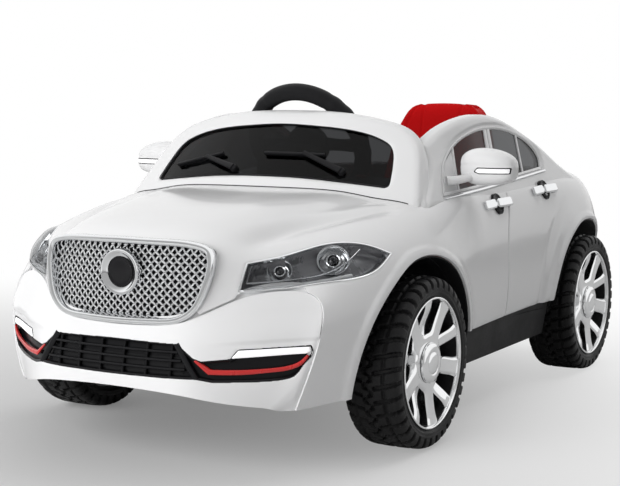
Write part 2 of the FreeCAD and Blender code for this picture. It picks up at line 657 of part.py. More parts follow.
tub = pan() + decks() + bumper_arms() + pedal_ears()
for axle_y, inner_x in ((FRONT_AXLE, FRONT_DECK_HALF), (REAR_AXLE, REAR_DECK_HALF)):
    tub += both_sides(wheel_well(axle_y, across(inner_x) - WELL_WALL, across(FRONT_WELL_X)))
tub.append(rod(bearing_mid - SHAFT_AXIS * BEARING_DROP, SHAFT_AXIS, BEARING_RADIUS, BEARING_LENGTH))
tub_cuts = [body_blank]
tub_cuts.append(rod(bearing_mid - SHAFT_AXIS * 40, SHAFT_AXIS, SHAFT_RADIUS + RUNNING_FIT, 80))
pin_reach = PEDAL_WIDTH / 2 + PEDAL_EAR + SEAT_GAP
pin_start = pedal_pin - X_AXIS * (pin_reach + 2)
tub_cuts.append(rod(pin_start, X_AXIS, PEDAL_PIN_RADIUS + RUNNING_FIT, 2 * pin_reach + 4))
for x, y in SCREW_PLACES:
    tub_cuts.append(rod(at(x, y, FLOOR_HEIGHT - 1), Z_AXIS, SCREW_RADIUS + RUNNING_FIT, TUB_WALL + 2))
chassis_tub = largest(fuse(tub).cut(tub_cuts))
PARTS["chassis_tub"] = chassis_tub
screws = []
for x, y in SCREW_PLACES:
    head = rod(at(x, y, pan_floor), Z_AXIS, SCREW_HEAD_RADIUS, SCREW_HEAD)
    shank = rod(at(x, y, FLOOR_HEIGHT + SCREW_TIP), Z_AXIS, SCREW_RADIUS, TUB_WALL - SCREW_TIP + SCREW_HEAD)
    screws.append(head.fuse(shank))
PARTS["floor_screws"] = Part.makeCompound(screws)

# Accelerator pedal
plate = box(-PEDAL_WIDTH / 2, PEDAL_WIDTH / 2, -PEDAL_LENGTH, 0, 0, PEDAL_THICKNESS)
plate = plate.makeFillet(PEDAL_THICKNESS * 0.3, plate.Edges)
plate.rotate(ORIGIN, X_AXIS, -PEDAL_SLOPE)
plate.translate(pedal_pin)
pedal = fuse([plate,
              rod(pedal_pin - X_AXIS * PEDAL_WIDTH / 2, X_AXIS, PEDAL_BARREL, PEDAL_WIDTH),
              rod(pedal_pin - X_AXIS * pin_reach, X_AXIS, PEDAL_PIN_RADIUS, 2 * pin_reach)])
PARTS["accelerator_pedal"] = pedal

# Windscreen
SCREEN_Z = (330.0, 500.0)
SCREEN_HEIGHTS = (-275.8, -194.8, -113.8)
SCREEN_BOW = 0.000927
FRAME_PROUD = 6.0
FRAME_DEPTH = 20.0
GLASS_RECESS = 2.0
GLASS_THICKNESS = 4.0
FRAME_TOP = [(0, 483), (90, 479), (165, 468), (215, 450), (238, 425), (248, 385), (252, 330)]
GLASS_TOP = [(0, 462), (80, 459), (150, 451), (183, 440), (196, 425)]
GLASS_FOOT = (212, 369)
GLASS_FOOT_MIDDLE = (0, 376)


def screen_layer(front, depth):
    sheet = bowed_sheet(SCREEN_HEIGHTS, SCREEN_BOW, 275.0, *SCREEN_Z)
    return sheet.translated(Y_AXIS * front).extrude(Y_AXIS * depth)


def glass_prism(step):
    top = [(x - step * (x > 0), z - step) for x, z in GLASS_TOP]
    foot = (GLASS_FOOT[0] - step, GLASS_FOOT[1] + step)
    middle = (GLASS_FOOT_MIDDLE[0], GLASS_FOOT_MIDDLE[1] + step)
    right = symmetric(top)
    side = [right[-1], foot]
    base = [foot, middle, (-foot[0], foot[1])]
    return front_prism([right, side, base, [base[-1], right[0]]], along(-340), along(-40))


frame_runs = [symmetric(FRAME_TOP), [FRAME_TOP[-1], (-FRAME_TOP[-1][0], FRAME_TOP[-1][1])]]
frame_blank = screen_layer(-FRAME_PROUD, FRAME_DEPTH).common(front_prism(frame_runs, along(-360), along(-20)))
windscreen_frame = largest(frame_blank.cut([glass_prism(0.0), body_blank]))
PARTS["windscreen_frame"] = windscreen_frame
windscreen_glass = screen_layer(GLASS_RECESS, GLASS_THICKNESS).common(glass_prism(SEAT_GAP))
windscreen_glass = largest(windscreen_glass.cut(body_blank))
PARTS["windscreen_glass"] = windscreen_glass

# Wipers: a pivot cap at the foot of the glass, an arm and a blade along it
WIPERS = [((137, 388), (94, 414), (-4, 412)), ((-55, 387), (-83, 411), (-173, 391))]
WIPER_CAP = 7.0
WIPER_CAP_HEIGHT = 8.0
WIPER_BAR = (9.0, 4.6)
BLADE_BAR = (5.0, 4.0)
WIPER_LIFT = 5.0
BLADE_TAIL = 0.12


def screen_seat(x, z):
    """Point on the front of the windscreen's pane and the pane's outward direction there."""
    low, high = SCREEN_Z
    slope = (SCREEN_HEIGHTS[2] - SCREEN_HEIGHTS[0]) / (high - low)
    y = SCREEN_HEIGHTS[0] + slope * (z - low) + SCREEN_BOW * x * x
    outward = FreeCAD.Vector(2 * SCREEN_BOW * x, -1, slope).normalize()
    return at(x, y, z) + Y_AXIS * GLASS_RECESS, outward


def flat_bar(start, end, size, outward):
    """Straight bar of a rectangular section, its height along the outward direction."""
    width, height = size
    run = end - start
    sideways = run.cross(outward).normalize() * (width / 2)
    upright = sideways.cross(run).normalize() * (height / 2)
    corners = [start - sideways - upright, start + sideways - upright, start + sideways + upright,
               start - sideways + upright]
    return Part.Face(Part.makePolygon(corners + corners[:1])).extrude(run)


wipers = []
for places in WIPERS:
    seats = [screen_seat(x, z) for x, z in places]
    foot, outward = seats[0]
    points = [seat + way * WIPER_LIFT for seat, way in seats]
    tail = points[1] + (points[1] - points[2]) * BLADE_TAIL
    cap = rod(foot + outward * SEAT_GAP, outward, WIPER_CAP, WIPER_CAP_HEIGHT)
    arm = flat_bar(points[0], points[1], WIPER_BAR, outward)
    blade = flat_bar(tail, points[2], BLADE_BAR, seats[1][1])
    wipers.append(fuse([cap, arm, blade]))
PARTS["wipers"] = Part.makeCompound(wipers)

# Side arches, windows and mirrors
ARCH_LEAN = (289.0, 262.2, 235.4)
ARCH_Z = (330.0, 490.0)
ARCH_WALL = 16.0
WINDOW_RECESS = 5.0
WINDOW_WALL = 4.0
ARCH_CREST = [(-140, 418), (-118, 437), (-62, 456), (20, 472), (100, 476), (200, 464), (307, 433),
              (400, 397), (484, 362)]
ARCH_FOOT = 335.0
ARCH_FRONT = -146.0
WINDOW_TOP = [(-114, 408), (-98, 425), (-60, 440), (0, 452), (60, 456), (150, 448), (250, 424),
              (288, 402), (302, 376)]
WINDOW_FRONT = (-116, 353)


def arch_layer(depth, wall):
    """Leaning slab of a side arch, from a depth behind its skin."""
    sheet = leaning_sheet(ARCH_LEAN, -170, 500, *ARCH_Z)
    return sheet.translated(X_AXIS * -depth).extrude(X_AXIS * -wall)


def window_prism(step):
    """Prism through a side of the window's outline, drawn in by a step."""
    outline = towards_middle([FreeCAD.Vector(0, y, z) for y, z in WINDOW_TOP + [WINDOW_FRONT]], step)
    points = [(point.y, point.z) for point in outline]
    top, front = points[:-1], points[-1]
    return side_prism([top, [top[-1], front], [front, top[0]]], across(180), across(330))


rear_foot = (ARCH_CREST[-1][0], ARCH_FOOT)
front_foot = (ARCH_FRONT, ARCH_FOOT)
arch_runs = [ARCH_CREST, [ARCH_CREST[-1], rear_foot], [rear_foot, front_foot], [front_foot, ARCH_CREST[0]]]
arch_blank = arch_layer(0, ARCH_WALL).common(side_prism(arch_runs, across(180), across(330)))
side_arch = largest(arch_blank.cut([window_prism(0.0), body_blank, windscreen_frame]))
side_window = arch_layer(WINDOW_RECESS, WINDOW_WALL).common(window_prism(SEAT_GAP))
side_window = largest(side_window.cut(body_blank))

MIRROR_STATIONS = [(286, 15, 13), (304, 25, 22), (328, 30, 26), (350, 26, 22), (364, 13, 11)]
MIRROR_Y = -60.0
MIRROR_Z = 396.0
MIRROR_FLAT = 15.0
MIRROR_GLASS_WALL = 2.5
MIRROR_FOOT = (276, -102, 362)
MIRROR_FOOT_RADIUS = 10.0
INDICATOR = (336.0, 46.0, 6.0)


def mirror_shell(scale):
    """Rounded housing lofted through upright ellipses along X."""
    wires = []
    for x, half_z, half_y in MIRROR_STATIONS:
        ellipse = Part.Ellipse(ORIGIN, half_z * scale, half_y * scale).toShape()
        wire = Part.Wire([ellipse])
        wire.rotate(ORIGIN, Y_AXIS, -90)
        wire.translate(at(x, MIRROR_Y, MIRROR_Z))
        wires.append(wire)
    return Part.makeLoft(wires, True)


flat_y = along(MIRROR_Y) + MIRROR_FLAT
behind_flat = box(0, BODY_WIDTH, flat_y, flat_y + 60, 300, 500)
foot_start = at(*MIRROR_FOOT)
foot_run = at(MIRROR_STATIONS[1][0], MIRROR_Y, MIRROR_Z - 10) - foot_start
mirror_body = mirror_shell(1.0).cut(behind_flat)
glass_bed = mirror_shell(0.86).common(box(0, BODY_WIDTH, flat_y - MIRROR_GLASS_WALL, flat_y, 300, 500))
mirror_foot = rod(foot_start, foot_run, MIRROR_FOOT_RADIUS, foot_run.Length)
mirror_body = fuse([mirror_body, mirror_foot]).cut([glass_bed, body_blank, side_arch, side_window])
mirror_body = largest(mirror_body)
glass_slab = box(0, BODY_WIDTH, flat_y - MIRROR_GLASS_WALL, flat_y - SEAT_GAP, 300, 500)
mirror_glass = mirror_shell(0.84).common(glass_slab)
strip_x, strip_length, strip_height = INDICATOR
indicator = box(across(strip_x) - strip_length / 2, across(strip_x) + strip_length / 2, along(MIRROR_Y) - 60,
                along(MIRROR_Y) - 12, MIRROR_Z - 7 - strip_height, MIRROR_Z - 7)
indicator = indicator.common(mirror_shell(1.05)).cut(mirror_shell(1.0))
for side, turn in (("left", lambda s: s), ("right", mirrored)):
    PARTS["side_arch_" + side] = turn(side_arch)
    PARTS["side_window_" + side] = turn(side_window)
    PARTS["mirror_housing_" + side] = turn(mirror_body)
PARTS["mirror_glasses"] = Part.makeCompound(both_sides(mirror_glass))
PARTS["mirror_indicators"] = Part.makeCompound(both_sides(largest(indicator)))

# Door handles: a bar bridging an oval cup on the flank
HANDLE_PLACES = [(35, 331), (255, 341)]
HANDLE_LENGTH = 108.0
HANDLE_HEIGHT = 13.0
HANDLE_PROUD = 13.0
HANDLE_GAP = 8.0
HANDLE_PAD = 24.0
HANDLE_LEAN = 20.0
CUP_LENGTH = 46.0
CUP_HEIGHT = 30.0
CUP_PROUD = 4.0
SINK = 8.0


def on_flank(shape, y, z):
    """A shape made about the origin, X outwards, set on the left flank."""
    turned = shape.copy()
    turned.rotate(ORIGIN, Y_AXIS, -HANDLE_LEAN)
    turned.translate(FreeCAD.Vector(flank_x(y, z), along(y), z))
    return turned


handles = []
cups = []
bar = box(-SINK, HANDLE_PROUD, -HANDLE_LENGTH / 2, HANDLE_LENGTH / 2, -HANDLE_HEIGHT / 2, HANDLE_HEIGHT / 2)
gap_half = HANDLE_LENGTH / 2 - HANDLE_PAD
gap = box(-SINK, HANDLE_GAP, -gap_half, gap_half, -HANDLE_HEIGHT, HANDLE_HEIGHT)
bar = bar.makeFillet(HANDLE_HEIGHT * 0.3, [e for e in bar.Edges if abs(e.CenterOfMass.x) > SINK]).cut(gap)
oval = Part.Wire([Part.Ellipse(ORIGIN, CUP_LENGTH / 2, CUP_HEIGHT / 2).toShape()])
cup = Part.Face(oval).extrude(Z_AXIS * (SINK + CUP_PROUD))
cup.translate(Z_AXIS * -SINK)
cup.rotate(ORIGIN, Z_AXIS, 90)
cup.rotate(ORIGIN, Y_AXIS, 90)
for y, z in HANDLE_PLACES:
    handle = on_flank(bar, y, z).cut([body_blank, side_arch])
    outer_x = max(solid.BoundBox.XMax for solid in handle.Solids)
    handles += both_sides([s for s in handle.Solids if s.BoundBox.XMax == outer_x][0])
    seat_cup = on_flank(cup, y, z).cut([body_blank, side_arch])
    outer_x = max(solid.BoundBox.XMax for solid in seat_cup.Solids)
    cups += both_sides([s for s in seat_cup.Solids if s.BoundBox.XMax == outer_x][0])
PARTS["door_handles"] = Part.makeCompound(handles)
PARTS["door_handle_cups"] = Part.makeCompound(cups)

# Dashboard with its column pod, lever slot and button bore
DASH_PROFILE = [(-205, 305), (-205, 374), (-150, 374), (-118, 378), (-96, 352), (-104, 305)]
DASH_INSIDE = [(-199, 304), (-199, 350), (-152, 366), (-122, 370), (-102, 349), (-109, 304)]
DASH_HALF = 222.0
DASH_BAYS = [(-216, -156), (-104, -54), (54, 112), (148, 216)]
POD = (48.0, -162.0, -93.0, 345.0, 430.0)
POD_HOLLOW = (30.0, -154.0, -104.0, 300.0, 422.0)
SHAFT_CHANNEL = (26.0, -210.0, -106.0, 300.0, 385.0)
LEVER_X = -130.0
LEVER_Y = -131.0
LEVER_PIN_Z = 345.0
LEVER_TOP = 402.0
LEVER_SLOT = (9.0, 20.0)
LEVER_STEM = (5.0, 7.0)
LEVER_PIN_REACH = 20.0
KNOB_RADIUS = 13.0
BUTTON_X = 130.0
BUTTON_Y = -131.0
BUTTON_FOOT = 364.0
BUTTON_TOP = 381.0
BUTTON_CLEARANCE = 0.3


def half_box(half, y0, y1, z0, z1):
    return box(-across(half), across(half), along(y0), along(y1), z0, z1)


def dash_hollow(x0, x1):
    """Space under the dashboard's skin between two drawn stations across."""
    return side_prism(polygon(DASH_INSIDE), across(x0), across(x1))


lever_pin = at(LEVER_X, LEVER_Y, LEVER_PIN_Z)
button_seat = at(BUTTON_X, BUTTON_Y, BUTTON_FOOT)
dash = side_prism(polygon(DASH_PROFILE), -across(DASH_HALF), across(DASH_HALF)).fuse(half_box(*POD))
slot_half, slot_reach = LEVER_SLOT
dash_cuts = [half_box(*POD_HOLLOW), half_box(*SHAFT_CHANNEL), body_shell, windscreen_frame, windscreen_glass,
             box(lever_pin.x - slot_half, lever_pin.x + slot_half, lever_pin.y - slot_reach,
                 lever_pin.y + slot_reach, LEVER_PIN_Z - 12, 400),
             rod(lever_pin - X_AXIS * (LEVER_PIN_REACH + 1), X_AXIS, LEVER_PIN_RADIUS + RUNNING_FIT,
                 2 * LEVER_PIN_REACH + 2),
             rod(button_seat - Z_AXIS * (BUTTON_TRAVEL + 0.5), Z_AXIS, BUTTON_RADIUS + BUTTON_CLEARANCE, 40),
             rod(STEERING_CENTRE, STEERING_AXIS * -1, COLUMN_RADIUS + RUNNING_FIT, COLUMN_LENGTH)]
dash_cuts += [dash_hollow(*bay) for bay in DASH_BAYS]
dashboard = largest(dash.cut(dash_cuts))
PARTS["dashboard"] = dashboard

stem_half, stem_reach = LEVER_STEM
lever = fuse([box(lever_pin.x - stem_half, lever_pin.x + stem_half, lever_pin.y - stem_reach,
                  lever_pin.y + stem_reach, LEVER_PIN_Z - stem_reach, LEVER_TOP),
              rod(lever_pin - X_AXIS * LEVER_PIN_REACH, X_AXIS, LEVER_PIN_RADIUS, 2 * LEVER_PIN_REACH),
              Part.makeSphere(KNOB_RADIUS, FreeCAD.Vector(lever_pin.x, lever_pin.y, LEVER_TOP))])
PARTS["shift_lever"] = lever
button = rod(button_seat, Z_AXIS, BUTTON_RADIUS, BUTTON_TOP - BUTTON_FOOT)
PARTS["power_button"] = button.makeFillet(1.5, [e for e in button.Edges if e.CenterOfMass.z > BUTTON_TOP - 1])

# Steering wheel, horn pad, column, lower shaft with its crank
HUB_SIZE = 36.0
HUB_BACK = 14.0
HUB_FRONT = 10.0
STEERING_SPOKE = 26.0
STEERING_SPOKE_DEPTH = 10.0
PAD_FOOT = 7.0
PAD_TOP = 12.0
PAD_ROUND = 2.0
BALL_RADIUS = 9.0
CRANK_THICKNESS = 7.0
CRANK_WIDTH = 18.0
CRANK_PIN_LENGTH = 26.0
steering_turn = FreeCAD.Rotation(X_AXIS, STEERING_TILT - 90)


def on_wheel_axis(shape):
    placed = shape.copy()
    placed.Placement = FreeCAD.Placement(STEERING_CENTRE, steering_turn)
    return placed


wheel_hub = rod(Z_AXIS * -HUB_BACK, Z_AXIS, HUB_SIZE, HUB_BACK + HUB_FRONT)
wheel = [Part.makeTorus(STEERING_RADIUS, STEERING_GRIP), wheel_hub]
half_width, half_depth = STEERING_SPOKE / 2, STEERING_SPOKE_DEPTH / 2
for angle in (0, 90, 180):
    wheel_arm = box(0, STEERING_RADIUS, -half_width, half_width, -half_depth, half_depth)
    wheel_arm.rotate(ORIGIN, Z_AXIS, angle)
    wheel.append(wheel_arm)
horn_bed = rod(Z_AXIS * (PAD_FOOT - HORN_TRAVEL - 0.5), Z_AXIS, HORN_RADIUS + SEAT_GAP, HUB_FRONT)
PARTS["steering_wheel"] = on_wheel_axis(fuse(wheel).cut(horn_bed))
horn = rod(Z_AXIS * PAD_FOOT, Z_AXIS, HORN_RADIUS, PAD_TOP - PAD_FOOT)
pad_rim = [edge for edge in horn.Edges if edge.CenterOfMass.z > PAD_TOP - 1]
PARTS["horn_pad"] = on_wheel_axis(horn.makeFillet(PAD_ROUND, pad_rim))
column_top = STEERING_CENTRE - STEERING_AXIS * HUB_BACK
column = rod(column_top, STEERING_AXIS * -1, COLUMN_RADIUS, COLUMN_LENGTH - HUB_BACK)
PARTS["steering_column"] = column.fuse(Part.makeSphere(BALL_RADIUS, JOINT_CENTRE)).removeSplitter()

crank_way = SHAFT_AXIS.cross(X_AXIS)
if crank_way.y < 0:
    crank_way = crank_way * -1
shaft_top = JOINT_CENTRE - SHAFT_AXIS * (BALL_RADIUS + SEAT_GAP)
shaft_length = (shaft_top - SHAFT_FOOT).Length
crank_half = CRANK_WIDTH / 2
crank = box(-crank_half, crank_half, -crank_half, CRANK_ARM + crank_half, 0, CRANK_THICKNESS)
crank_pin_top = FreeCAD.Vector(0, CRANK_ARM, CRANK_THICKNESS)
crank = crank.fuse(rod(crank_pin_top, Z_AXIS * -1, LINK_PIN_RADIUS, CRANK_PIN_LENGTH))
crank.Placement = FreeCAD.Placement(SHAFT_FOOT, FreeCAD.Rotation(X_AXIS, crank_way, SHAFT_AXIS, "XYZ"))
PARTS["steering_shaft"] = fuse([rod(SHAFT_FOOT, SHAFT_AXIS, SHAFT_RADIUS, shaft_length), crank])

# Front axle beam, knuckles and tie rod
BEAM_DEPTH = 20.0
BEAM_HEIGHT = 16.0
BEAM_END = 8.0
BEAM_GAP = 9.0
POST_X = 90.0
POST_WIDTH = 24.0
ARM_WIDTH = 16.0
ARM_THICKNESS = 8.0
TIE_WIDTH = 12.0
TIE_END_RADIUS = 12.0
TIE_MIDDLE = 40.0
knuckle_low = AXLE_HEIGHT - KNUCKLE_HEIGHT / 2
knuckle_high = AXLE_HEIGHT + KNUCKLE_HEIGHT / 2
beam_x = KINGPIN_X - KNUCKLE_RADIUS - BEAM_GAP
ear_x = KINGPIN_X + KNUCKLE_RADIUS
half_depth = BEAM_DEPTH / 2
front, rear = FRONT_AXLE - half_depth, FRONT_AXLE + half_depth
low, high = knuckle_low - SEAT_GAP, knuckle_high + SEAT_GAP
ear_low, ear_high = low - EAR_THICKNESS, high + EAR_THICKNESS
beam = [box(-beam_x, beam_x, front, rear, AXLE_HEIGHT - BEAM_HEIGHT / 2, AXLE_HEIGHT + BEAM_HEIGHT / 2)]
beam += both_sides(box(beam_x - BEAM_END, beam_x, front, rear, ear_low, ear_high))
beam += both_sides(box(beam_x - BEAM_END, ear_x, front, rear, ear_low, low))
beam += both_sides(box(beam_x - BEAM_END, ear_x, front, rear, high, ear_high))
kingpin_foot = FreeCAD.Vector(KINGPIN_X, FRONT_AXLE, ear_low)
beam += both_sides(rod(kingpin_foot, Z_AXIS, AXLE_RADIUS, ear_high - ear_low))
beam += both_sides(box(POST_X - POST_WIDTH / 2, POST_X + POST_WIDTH / 2, front, rear, AXLE_HEIGHT, deck_base))
PARTS["front_axle_beam"] = fuse(beam)

kingpin = FreeCAD.Vector(KINGPIN_X, FRONT_AXLE, 0)
arm_top = TIE_BOTTOM - SEAT_GAP
stub_length = KINGPIN_INSET + TYRE_WIDTH * AXLE_SHARE
knuckle = fuse([rod(kingpin + Z_AXIS * knuckle_low, Z_AXIS, KNUCKLE_RADIUS, KNUCKLE_HEIGHT),
                rod(kingpin + Z_AXIS * AXLE_HEIGHT, X_AXIS, AXLE_RADIUS, stub_length),
                box(KINGPIN_X - ARM_WIDTH / 2, KINGPIN_X + ARM_WIDTH / 2, FRONT_AXLE, TIE_Y + ARM_WIDTH / 2,
                    arm_top - ARM_THICKNESS, arm_top),
                rod(FreeCAD.Vector(KINGPIN_X, TIE_Y, arm_top - ARM_THICKNESS), Z_AXIS, LINK_PIN_RADIUS,
                    ARM_THICKNESS + TIE_THICKNESS + 4)])
knuckle = knuckle.cut(rod(kingpin, Z_AXIS, AXLE_RADIUS + RUNNING_FIT, 2 * AXLE_HEIGHT))
PARTS["knuckle_left"] = knuckle
PARTS["knuckle_right"] = mirrored(knuckle)


def tie_block(x, half_x, half_y, over):
    """Block of the tie rod's height, or over it both ways, about a station on its middle line."""
    low, high = TIE_BOTTOM - over, TIE_BOTTOM + TIE_THICKNESS + over
    return box(x - half_x, x + half_x, TIE_Y - half_y, TIE_Y + half_y, low, high)


def link_slot(x, slack):
    return tie_block(x, LINK_PIN_RADIUS + SIDE_SLACK, LINK_PIN_RADIUS + slack, 1.0)


tie = [tie_block(0, KINGPIN_X, TIE_WIDTH / 2, 0), tie_block(0, TIE_MIDDLE / 2, TIE_MIDDLE / 2, 0)]
tie += [tie_block(x, TIE_END_RADIUS, TIE_END_RADIUS, 0) for x in (-KINGPIN_X, KINGPIN_X)]
tie_slots = [link_slot(0, CRANK_SLACK), link_slot(KINGPIN_X, ARM_SLACK), link_slot(-KINGPIN_X, ARM_SLACK)]
PARTS["tie_rod"] = fuse(tie).cut(tie_slots)

# Rear axle, gearboxes and motors
GEARBOX_INSET = 75.0
GEARBOX_WIDTH = 42.0
GEARBOX_REACH = (-62.0, 34.0)
GEARBOX_FOOT = 93.0
DRUM_RADIUS = 24.0
DRUM_GAP = 4.0
MOTOR_RADIUS = 18.0
MOTOR_LENGTH = 72.0
MOTOR_Y = -40.0
axle_middle = FreeCAD.Vector(0, REAR_AXLE, AXLE_HEIGHT)
axle_end = WHEEL_X + TYRE_WIDTH * AXLE_SHARE
PARTS["rear_axle"] = rod(axle_middle - X_AXIS * axle_end, X_AXIS, AXLE_RADIUS, 2 * axle_end)
box_out = WHEEL_X - GEARBOX_INSET
box_in = box_out - GEARBOX_WIDTH
box_front, box_rear = GEARBOX_REACH
drum_end = WHEEL_X - TYRE_WIDTH / 2 - DRUM_GAP
casing = box(box_in, box_out, REAR_AXLE + box_front, REAR_AXLE + box_rear, GEARBOX_FOOT, deck_base)
drum = rod(axle_middle + X_AXIS * box_out, X_AXIS, DRUM_RADIUS, drum_end - box_out)
gearbox = fuse([casing, drum]).cut(rod(axle_middle, X_AXIS, AXLE_RADIUS + RUNNING_FIT, BODY_WIDTH))
motor = rod(FreeCAD.Vector(box_in, REAR_AXLE + MOTOR_Y, AXLE_HEIGHT), X_AXIS * -1, MOTOR_RADIUS, MOTOR_LENGTH)
PARTS["gearboxes"] = Part.makeCompound(both_sides(gearbox))
PARTS["motors"] = Part.makeCompound(both_sides(motor))

# Seat, battery and control box
SEAT_PROFILE = [[(232, 162), (228, 232), (238, 252)],
                [(238, 252), (300, 245), (392, 252), (424, 310), (440, 390), (450, 462), (458, 489)],
                [(458, 489), (468, 492), (476, 484)],
                [(476, 484), (466, 420), (450, 330), (436, 250), (432, 162)],
                [(432, 162), (232, 162)]]
SEAT_HALF = [(0, 492), (50, 487), (68, 476), (88, 450), (108, 400), (124, 320), (128, 250), (128, 162)]
SEAT_WALL = 6.0
SEAT_INSIDE = [(238, 161), (236, 228), (244, 245), (300, 238), (396, 245), (418, 312), (434, 391), (444, 462),
               (461, 478), (459, 420), (443, 330), (429, 250), (426, 161)]
BATTERY = (75.0, 300.0, 398.0, 65.0)
CONTROL_BOX = (45.0, 246.0, 292.0, 30.0)


def on_deck(half, y0, y1, height):
    return half_box(half, y0, y1, DECK_HEIGHT, DECK_HEIGHT + height)


seat_outline = [symmetric(SEAT_HALF), [SEAT_HALF[-1], (-SEAT_HALF[-1][0], SEAT_HALF[-1][1])]]
seat_sides = side_prism(SEAT_PROFILE, -across(150), across(150))
seat = seat_sides.common(front_prism(seat_outline, along(180), along(520)))
hollow_half = [(max(x - SEAT_WALL, 0), z - SEAT_WALL) for x, z in SEAT_HALF]
hollow_outline = [symmetric(hollow_half), [hollow_half[-1], (-hollow_half[-1][0], hollow_half[-1][1])]]
seat_hollow = side_prism(polygon(SEAT_INSIDE), -across(150), across(150))
seat = seat.cut(seat_hollow.common(front_prism(hollow_outline, along(180), along(520))))
PARTS["seat"] = largest(seat)
PARTS["battery"] = on_deck(*BATTERY)
PARTS["control_box"] = on_deck(*CONTROL_BOX)

# Wheels
BEAD = TYRE_WIDTH / 2 - 5.0
RIM_SEAT = RIM_DIAMETER / 2 - RIM_LIP
RIM_FACE = TYRE_WIDTH / 2 - 1.0
SPOKE_FACE = RIM_FACE - 7.0
BOSS_RADIUS = 17.0
BOSS_END = -TYRE_WIDTH / 4
SPOKE_START = 30.0
FIRST_SPOKE = 30.0
THIN_SPOKE_RECESS = 5.0


def revolved(points):
    """Ring swept about the X axis by an outline of (x, radius) points."""
    placed = [FreeCAD.Vector(x, 0, r) for x, r in points + points[:1]]
    return Part.Face(Part.makePolygon(placed)).revolve(ORIGIN, X_AXIS, 360)


def tyre_ring():
    half = TYRE_WIDTH / 2
    crown = TYRE_DIAMETER / 2
    bore = RIM_SEAT + SEAT_GAP
    side = [(BEAD, RIM_DIAMETER / 2 + 1.2), (half - 1, crown - 21), (half, crown - 13), (half - 3, crown - 5),
            (half - 12, crown - 0.6)]
    flank = [(-x, r) for x, r in reversed(side)]
    hollow = half - TYRE_WALL
    air = [(-hollow, bore), (-hollow, crown - TYRE_WALL), (hollow, crown - TYRE_WALL), (hollow, bore)]
    ring_shape = revolved([(BEAD - 2, bore)] + side + [(0, crown)] + flank + [(2 - BEAD, bore)] + air)
    grooves = []
    for i in range(TREAD_LUGS):
        for edge, turn in ((1, 0.0), (-1, 0.5)):
            x = sorted([edge * (half * 0.25), edge * (half + 5)])
            groove = box(x[0], x[1], -LUG_GROOVE / 2, LUG_GROOVE / 2, crown - LUG_DEPTH, crown + 5)
            groove.rotate(ORIGIN, X_AXIS, (i + turn) * 360 / TREAD_LUGS)
            grooves.append(groove)
    return ring_shape.cut(Part.makeCompound(grooves))


def spoke(width, start, face, thickness, angle):
    bar_shape = box(face - thickness, face, -width / 2, width / 2, start, RIM_SEAT - RIM_WALL / 2)
    bar_shape.rotate(ORIGIN, X_AXIS, -angle)
    return bar_shape


def rim_casting():
    inner = RIM_SEAT - RIM_WALL
    barrel = [(-BEAD, inner), (-BEAD, RIM_SEAT), (BEAD + SEAT_GAP, RIM_SEAT),
              (BEAD + SEAT_GAP, RIM_DIAMETER / 2), (RIM_FACE, RIM_DIAMETER / 2 - 1),
              (RIM_FACE, inner + 2), (RIM_FACE - 5, inner)]
    hub = [(BOSS_END, 0), (BOSS_END, BOSS_RADIUS), (SPOKE_FACE - 16, BOSS_RADIUS + 4),
           (SPOKE_FACE - 14, HUB_RADIUS), (SPOKE_FACE - 2, HUB_RADIUS), (SPOKE_FACE, HUB_RADIUS - 3),
           (SPOKE_FACE, 0)]
    pieces = [revolved(barrel), revolved(hub)]
    pitch = 360 / SPOKES
    thin_face = SPOKE_FACE - THIN_SPOKE_RECESS
    for i in range(SPOKES):
        angle = FIRST_SPOKE + i * pitch
        pieces.append(spoke(SPOKE_WIDTH, SPOKE_START, SPOKE_FACE, SPOKE_THICKNESS, angle))
        pieces.append(spoke(THIN_SPOKE_WIDTH, SPOKE_START, thin_face, SPOKE_THICKNESS - 2, angle + pitch / 2))
    bore = rod(X_AXIS * (BOSS_END - 1), X_AXIS, AXLE_RADIUS + RUNNING_FIT, SPOKE_FACE - BOSS_END + 2)
    return fuse(pieces).cut(bore)


def cap_dome():
    low, top = SPOKE_FACE + SEAT_GAP, SPOKE_FACE + CAP_HEIGHT
    button_edge = CAP_BUTTON_RADIUS
    dome = [(low, 0), (low, CAP_RADIUS), (low + 2, CAP_RADIUS), (top - 3, CAP_RADIUS - 5),
            (top - 1.5, button_edge + 3), (top - 2.5, button_edge), (top - 1, button_edge - 1),
            (top, button_edge - 6), (top, 0)]
    return revolved(dome)


wheel_pieces = {"tyre": tyre_ring(), "rim": rim_casting(), "hub_cap": cap_dome()}
for end, axle_y in (("front", FRONT_AXLE), ("rear", REAR_AXLE)):
    for name, shape in wheel_pieces.items():
        placed = shape.translated(FreeCAD.Vector(WHEEL_X, axle_y, AXLE_HEIGHT))
        PARTS[name + "_" + end + "_left"] = placed
        PARTS[name + "_" + end + "_right"] = mirrored(placed)

os.makedirs("parts", exist_ok=True)
for name, shape in PARTS.items():
    print(name, len(shape.Solids), shape.isValid(), round(shape.Volume), shape.BoundBox)
    shape.exportStep(os.path.join("parts", name + ".step"))
